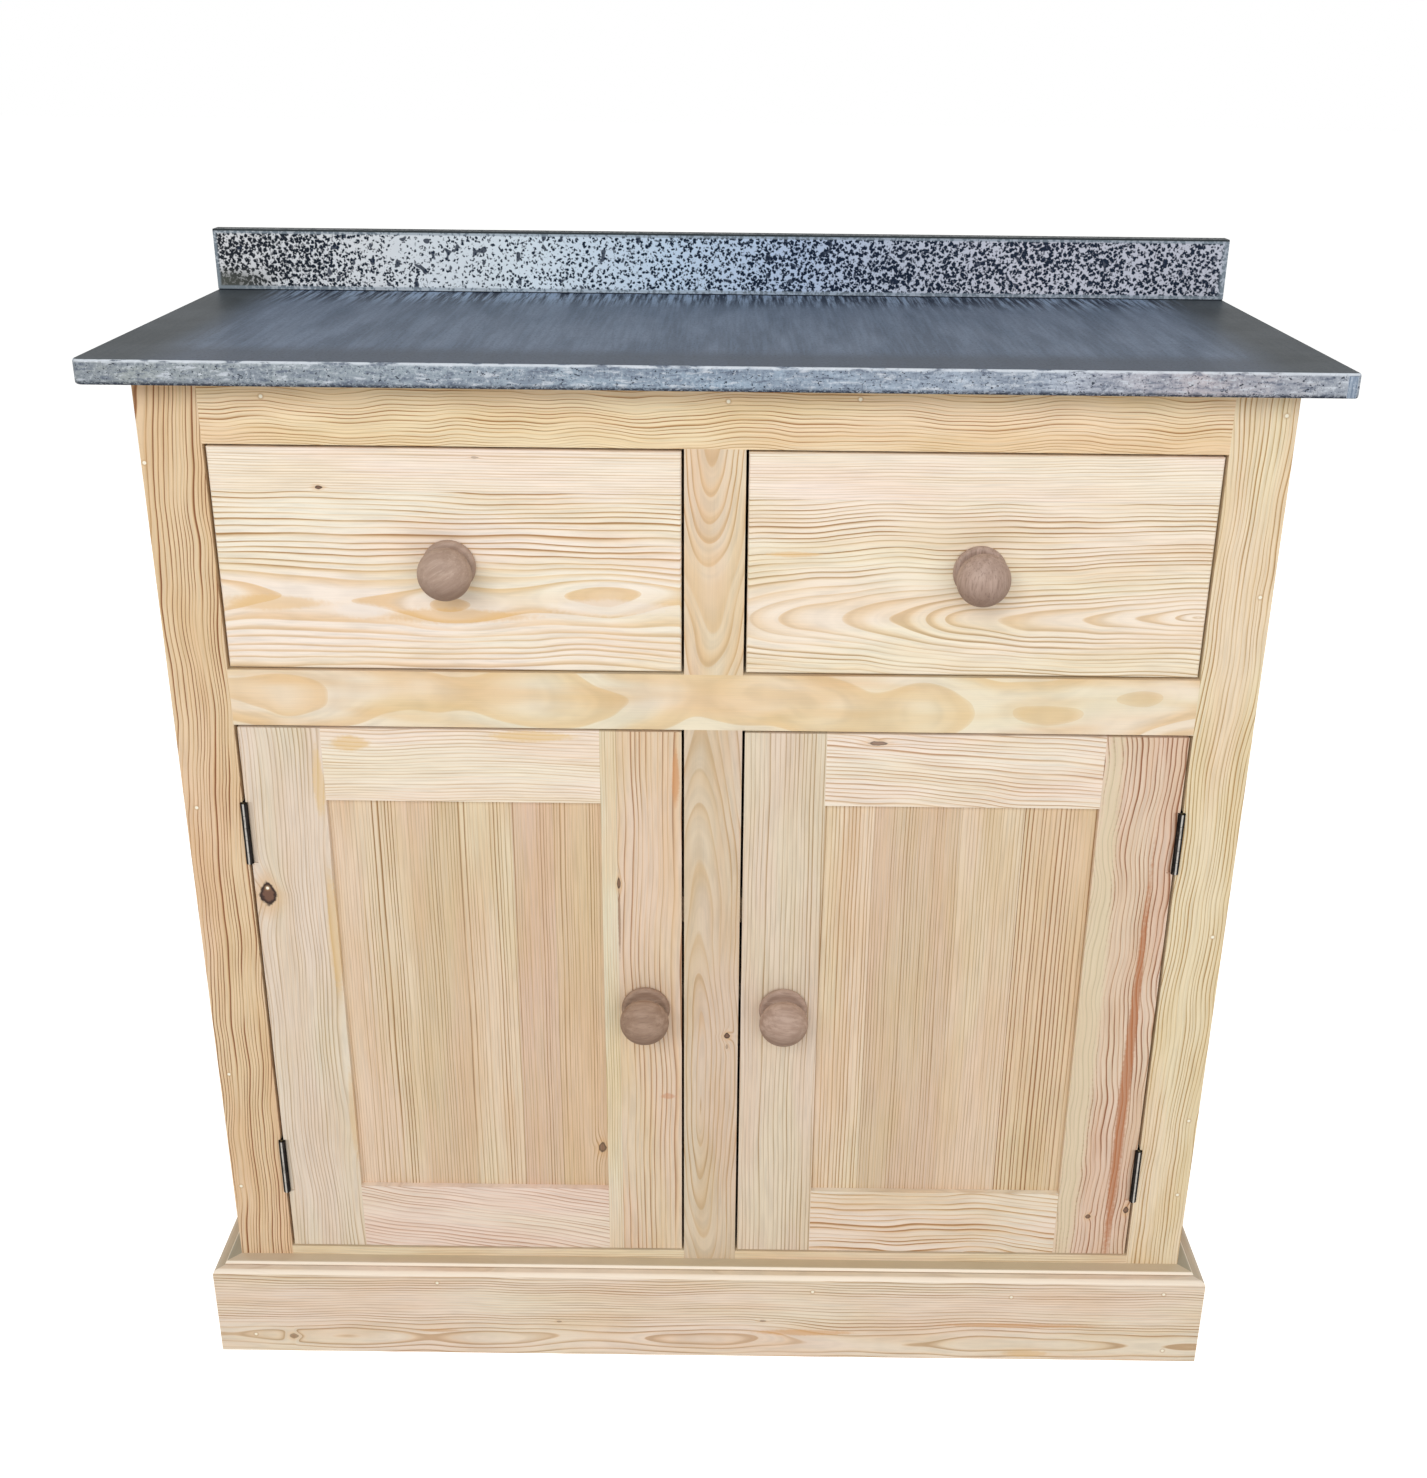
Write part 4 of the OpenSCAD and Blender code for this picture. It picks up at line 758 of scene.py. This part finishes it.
def zinc_edge_colour(t, point):
    """The turned-down edge: lighter, partly worn and partly a painted reflection, finely mottled, with a
    painted highlight at its upper arris and painted shade and pits at the lower.
    """
    x, _, z = t.split(point)
    cloud = t.noise(t.stretch(point, 0.022, 0.06, 0.06), 1.0, 3.0, 0.6)
    smear = t.noise(t.stretch(point, 0.06, 0.22, 0.26), 1.0, 3.0, 0.6)
    mottle = t.noise(point, 0.34, 3.0, 0.65)
    pit = t.noise(t.stretch(point, 0.4, 0.6, 0.6), 1.0, 1.0)
    colour = t.ramp(t.remap(x, *TOP_X, smooth=False), EDGE_TONES_AND_REFLECTION)
    colour = t.mark(colour, cloud, 0.6, 0.4, 0.5, EDGE_CLOUD)
    colour = t.mark(colour, smear, 0.54, 0.68, 0.75, SMEAR_PALE)
    colour = t.mark(colour, smear, 0.47, 0.34, 0.7, SMEAR_DARK)
    colour = t.mark(colour, mottle, 0.54, 0.66, 0.45, MOTTLE_PALE)
    colour = t.mark(colour, mottle, 0.46, 0.34, 0.55, MOTTLE_DARK)
    colour = t.mark(colour, pit, 0.34, 0.28, 0.9, EDGE_PIT)
    # painted shade along the lower arris, broken by the pits
    low = t.remap(z, TOP_Z[0] + 5.0, TOP_Z[0] + 1.0)
    colour = t.mix(t.product(low, t.remap(pit, 0.44, 0.5, 0.35, 1.0)), colour, LOWER_ARRIS_SHADE)
    # a painted highlight along the upper arris, broken by the smears
    high = t.remap(z, TOP_Z[1] - 3.4, TOP_Z[1] - 1.2)
    colour = t.mix(t.product(high, t.remap(smear, 0.36, 0.5, 0.1, 0.85)), colour, UPPER_ARRIS_HIGHLIGHT)
    return colour, mottle


def zinc_top_and_reflection(t, point, normal):
    top, top_gloss = zinc_top_colour_and_reflection(t, point)
    edge, edge_gloss = zinc_edge_colour(t, point)
    flat = t.remap(normal[2], 0.8, 0.97)
    gloss = t.mix(flat, edge_gloss, top_gloss, kind="FLOAT")
    return t.mix(flat, edge, top), gloss, edge_gloss


# The upstand from left to right: how much of it is pitted, and its pale and dark colours
PITTED = [(0.0, grey(0.62)), (0.1, grey(0.57)), (0.2, grey(0.32)), (0.4, grey(0.41)), (0.5, grey(0.48)),
          (0.62, grey(0.53)), (0.8, grey(0.55)), (1.0, grey(0.52))]
ETCHED_PALE = [(0.0, srgb(222, 222, 224)), (0.14, srgb(232, 234, 236)), (0.3, srgb(228, 238, 244)),
               (0.45, srgb(206, 224, 242)), (0.58, srgb(190, 206, 230)), (0.68, srgb(198, 204, 218)),
               (0.8, srgb(212, 212, 222)), (1.0, srgb(200, 202, 214))]
ETCHED_DARK = [(0.0, srgb(34, 38, 44)), (0.2, srgb(34, 44, 58)), (0.4, srgb(26, 40, 58)),
               (0.62, srgb(24, 36, 56)), (0.75, srgb(32, 42, 58)), (1.0, srgb(30, 40, 56))]
HOLE, CORNER, MARGIN, TOP_SHADE = srgb(34, 44, 62), srgb(92, 94, 88), srgb(152, 164, 174), srgb(50, 56, 58)

# Cells of the pits for each millimetre, and how far they are warped, in millimetres
CELLS, WARP = 0.25, 2.8


def zinc_upstand(t, point, normal):
    """Etched zinc: pale with dark pits at the left of the middle, dark with pale rings towards the ends."""
    x, _, z = t.split(point)
    across = t.remap(x, *UP_X, smooth=False)
    warp = t.vector("SUBTRACT", t.noise(point, 0.3, 1.0, 0.5, output="Color"), (0.5, 0.5, 0.5))
    warped = t.vector("ADD", point, t.vector("SCALE", warp, scale=WARP))
    cell = t.add("ShaderNodeTexVoronoi", Vector=warped, Scale=CELLS).outputs["Distance"]
    fine = t.noise(point, 0.55, 0.0)
    cell = t.scaled(t.maths("SUBTRACT", fine, 0.5), 0.7, cell)
    pool = t.noise(t.stretch(point, 0.02, 0.03, 0.035), 1.0, 2.0)
    hole = t.noise(point, 0.11, 0.0)
    pitted = t.maths("ADD", t.scaled(pool, 0.28, -0.14), t.ramp(across, PITTED))
    light = t.remap(t.maths("SUBTRACT", cell, pitted), -0.17, 0.15)
    colour = t.mix(light, t.ramp(across, ETCHED_DARK), t.ramp(across, ETCHED_PALE))
    colour = t.mark(colour, hole, 0.29, 0.24, 0.9, HOLE)

    # the plain margins, paler at the ends and along the foot, with a dark corner at the lower left
    corner = t.product(t.remap(x, UP_X[0] + 75.0, UP_X[0] + 10.0),
                       t.remap(z, UP_Z[0] + 26.0, UP_Z[0] + 8.0))
    colour = t.mix(t.product(corner, 0.85), colour, CORNER)
    margin = t.remap(x, UP_X[0] + 5.0, UP_X[0] + 2.0)
    for place, inner, outer in ((x, UP_X[1] - 9.0, UP_X[1] - 2.0), (z, UP_Z[0] + 4.4, UP_Z[0] + 2.6),
                                (z, UP_Z[1] - 5.0, UP_Z[1] - 3.6)):
        margin = t.maths("MAXIMUM", margin, t.remap(place, inner, outer))
    colour = t.mix(t.product(margin, 0.65), colour, MARGIN)
    # painted shade along the top edge
    colour = t.mix(t.remap(z, UP_Z[1] - 2.4, UP_Z[1] - 1.2), colour, TOP_SHADE)
    return colour, light, light


STAIN = srgb(96, 82, 68)


def steel(base, worn, barrel_highlight=None):
    """Steel with rubbed marks, and a painted highlight along the front of a barrel."""
    def build(t, point, normal):
        rub = t.noise(t.stretch(point, 0.5, 0.5, 0.06), 1.0, 3.0, 0.6)
        spot = t.noise(point, 0.35)
        colour = t.mix(t.remap(rub, 0.35, 0.7), srgb(*base), srgb(*worn))
        if barrel_highlight:
            # a painted highlight along the barrel's front, where it faces straight out, broken by the rub
            # marks
            front = t.product(t.remap(normal[1], -0.95, -0.995), t.remap(rub, 0.3, 0.45, 0.5, 1.0))
            colour = t.mix(front, colour, srgb(*barrel_highlight))
        colour = t.mark(colour, spot, 0.62, 0.72, 0.4, STAIN)
        return colour, rub, rub
    return build


dress(metal("zinc_top_and_reflection", zinc_top_and_reflection, 0.42, 0.0, specular=0.03, tint=DULL_TINT), "worktop_zinc")
dress(metal("zinc_upstand", zinc_upstand, 0.45, 0.1), "upstand_zinc")
# Hinge steel near black, partly its own finish and partly a painted dark reflection, with a painted
# highlight
dress(metal("hinge_steel", steel((30, 28, 27), (52, 48, 46), (176, 172, 166)), 0.42, 0.8),
      "frame_hinge_leaves", "door_left_hinge_leaves", "door_right_hinge_leaves")
# The pins are paler: a painted highlight for their lit tops
dress(metal("pin_steel_and_highlight", steel((120, 120, 98), (164, 162, 140)), 0.32, 0.9), "hinge_pins")
dress(metal("screw_steel", steel((150, 142, 122), (196, 188, 166)), 0.32, 0.9),
      "carcase_screws", "door_left_hinge_screws", "door_right_hinge_screws",
      "door_left_catch_plate", "door_right_catch_plate", "catch_magnets")


# Trim that lies on the zinc

SEALANT_DARK, SEALANT_PALE = srgb(22, 26, 36), srgb(44, 50, 62)
SEAM_DARK, SEAM_PALE = srgb(104, 118, 138), srgb(158, 170, 184)
SEAM_FLECK, SEAM_SIDE_HIGHLIGHT = srgb(196, 203, 212), srgb(206, 212, 220)

# The sealant under the upstand, in metres: how far it stays behind the zinc's face and ends, how far back
# it reaches and the radius of its edges
SEALANT_IN, SEALANT_D, SEALANT_R = 0.0004, 0.003, 0.0003

# The seam at the right end of the worktop's edge, in metres: its width and its distance from the end, how
# far it stands out and lies in, its margins at the foot and the head, and the radius of its edges
SEAM_W, SEAM_IN, SEAM_PROUD, SEAM_SUNK = 0.0082, 0.0028, 0.0006, 0.0004
SEAM_FOOT, SEAM_HEAD, SEAM_R = 0.0006, 0.0026, 0.00045


def new_piece(name, form, body, material):
    """Makes a mesh object of the form, on that body and with that material slot."""
    mesh = bpy.data.meshes.new(name)
    form.to_mesh(mesh)
    form.free()
    for polygon in mesh.polygons:
        polygon.use_smooth = True
    mesh.materials.append(material)
    piece = new_object(name, mesh)
    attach(piece, body)


def rounded_strip(x, y, z, radius):
    """A slab between the given limits with its edges rounded."""
    form = bmesh.new()
    bmesh.ops.create_cube(form, size=1.0)
    centre = Vector(((x[0] + x[1]) / 2, (y[0] + y[1]) / 2, (z[0] + z[1]) / 2))
    size = (x[1] - x[0], y[1] - y[0], z[1] - z[0])
    for vert in form.verts:
        vert.co = Vector(c * s for c, s in zip(vert.co, size)) + centre
    bmesh.ops.bevel(form, geom=form.edges[:], offset=radius, segments=3, profile=0.5, affect="EDGES")
    return form


def sealant(t, point, normal):
    grain = t.noise(point, 0.6, 2.0, 0.6)
    return t.mix(grain, SEALANT_DARK, SEALANT_PALE), grain, grain


def seam_zinc(t, point, normal):
    """The folded end of the edge: brushed up and down, dull between its two sides, which carry painted
    highlights.
    """
    brush = t.noise(t.stretch(point, 0.9, 0.9, 0.05), 1.0, 3.0, 0.6)
    mottle = t.noise(point, 0.34, 3.0, 0.65)
    colour = t.mix(t.remap(brush, 0.35, 0.65), SEAM_DARK, SEAM_PALE)
    colour = t.mark(colour, mottle, 0.54, 0.66, 0.5, SEAM_FLECK)
    # painted highlights on the sides that face left and right
    colour = t.mix(t.remap(t.maths("ABSOLUTE", normal[0]), 0.3, 0.8), colour, SEAM_SIDE_HIGHLIGHT)
    return colour, mottle, brush


zinc_low, zinc_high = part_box("worktop_zinc")
stand_low, stand_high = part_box("upstand_zinc")
new_piece("upstand_sealant",
          rounded_strip((stand_low.x + SEALANT_IN, stand_high.x - SEALANT_IN),
                        (stand_low.y + SEALANT_IN, stand_low.y + SEALANT_D),
                        (zinc_high.z, stand_low.z), SEALANT_R),
          "carcase", metal("joint_sealant", sealant, 0.6, 0.0))
new_piece("worktop_seam",
          rounded_strip((zinc_high.x - SEAM_IN - SEAM_W, zinc_high.x - SEAM_IN),
                        (zinc_low.y - SEAM_PROUD, zinc_low.y + SEAM_SUNK),
                        (zinc_low.z + SEAM_FOOT, zinc_high.z - SEAM_HEAD), SEAM_R),
          "carcase", metal("seam_zinc", seam_zinc, 0.4, 0.15))


# Room, light and camera

WHITE_SEEN, GLOW, AMBIENT = 1.0, 0.76, 0.38
FLOOR_HALF, FLOOR_TONE = 30.0, srgb(232, 230, 226)
DAYLIGHT = (0.97, 0.985, 1.0)

# Each lamp's place, the point that it faces, its size in metres and its power in watts
LAMPS = {
    "key": ((-0.9, -3.4, 2.7), (0.0, 0.0, 0.55), (2.4, 1.6), 68.0),
    "fill": ((1.7, -3.4, 1.8), (0.0, 0.0, 0.5), (2.4, 2.0), 30.0),
    "back_left": ((-3.3, 2.6, 1.4), (0.0, 0.0, 0.5), (1.8, 1.8), 34.0),
    "back_right": ((3.3, 2.6, 1.4), (0.0, 0.0, 0.5), (1.8, 1.8), 34.0),
}

# The camera's place and tilts, fitted to the photograph
CAMERA_PLACE = Vector((0.01526, -1.6062, 1.3063))
PITCH, YAW, ROLL = math.radians(22.74), math.radians(-0.10), math.radians(0.62)

# The photograph's frame, and the length of the lens and the middle of the view in its pixels
FRAME_W, FRAME_H, FOCAL, MIDDLE_X, MIDDLE_Y = 1427, 1478, 1661.2, 726.9, 741.6
SENSOR_W = 36.0


def seen(t):
    """1 for the rays that show the background: straight to the camera, by a reflection or through glass."""
    paths = t.add("ShaderNodeLightPath").outputs
    return t.maths("MAXIMUM", paths["Is Camera Ray"], t.maths("MAXIMUM", paths["Is Glossy Ray"],
                                                              paths["Is Transmission Ray"]))


def lay_floor():
    """A plain pale floor that glows to white where it is seen, so that it shows the shadow alone."""
    form = bmesh.new()
    bmesh.ops.create_grid(form, x_segments=2, y_segments=2, size=FLOOR_HALF)
    mesh = bpy.data.meshes.new("floor")
    form.to_mesh(mesh)
    form.free()
    floor = new_object("floor", mesh)
    material, t, _ = new_material("floor_pale")
    matt = t.add("ShaderNodeBsdfDiffuse", Color=FLOOR_TONE)
    glow = t.add("ShaderNodeEmission", Color=WHITE, Strength=t.product(seen(t), GLOW))
    both = t.add("ShaderNodeAddShader")
    t.feed(both.inputs[0], matt.outputs[0])
    t.feed(both.inputs[1], glow.outputs[0])
    t.add("ShaderNodeOutputMaterial", Surface=both.outputs[0])
    mesh.materials.append(material)


def light_room():
    """A world that is white where it is seen and lights the part softly."""
    world = bpy.data.worlds.new("studio")
    bpy.context.scene.world = world
    world.use_nodes = True
    world.node_tree.nodes.clear()
    t = Tree(world.node_tree)
    background = seen(t)
    sky = t.add("ShaderNodeBackground", Color=t.mix(background, (*DAYLIGHT, 1.0), WHITE),
                Strength=t.mix(background, AMBIENT, WHITE_SEEN, kind="FLOAT"))
    t.add("ShaderNodeOutputWorld", Surface=sky.outputs[0])


def hang_lamp(name, place, aim, size, watts):
    data = bpy.data.lights.new(name, "AREA")
    data.shape = "RECTANGLE"
    data.size, data.size_y = size
    data.energy = watts
    data.color = DAYLIGHT
    lamp = new_object(name, data)
    lamp.location = place
    lamp.rotation_euler = (Vector(aim) - Vector(place)).to_track_quat("-Z", "Y").to_euler()


def set_camera():
    """The camera that took the photograph: its place, its tilts, its lens and the shift of its view."""
    forward = Vector((math.sin(YAW) * math.cos(PITCH), math.cos(YAW) * math.cos(PITCH), -math.sin(PITCH)))
    level = Vector((math.cos(YAW), -math.sin(YAW), 0.0))
    above = level.cross(forward)
    right = math.cos(ROLL) * level + math.sin(ROLL) * above
    upward = -math.sin(ROLL) * level + math.cos(ROLL) * above
    turned = Matrix([[right[i], upward[i], -forward[i]] for i in range(3)])
    data = bpy.data.cameras.new("camera")
    data.sensor_width = SENSOR_W
    data.lens = SENSOR_W * FOCAL / FRAME_H
    data.shift_x = (FRAME_W / 2 - MIDDLE_X) / FRAME_H
    data.shift_y = (MIDDLE_Y - FRAME_H / 2) / FRAME_H
    data.clip_start, data.clip_end = 0.05, 100.0
    camera = new_object("camera", data)
    camera.matrix_world = Matrix.Translation(CAMERA_PLACE) @ turned.to_4x4()
    bpy.context.scene.camera = camera


lay_floor()
light_room()
for name, values in LAMPS.items():
    hang_lamp(name, *values)
set_camera()
bpy.context.scene.view_settings.view_transform = "Standard"
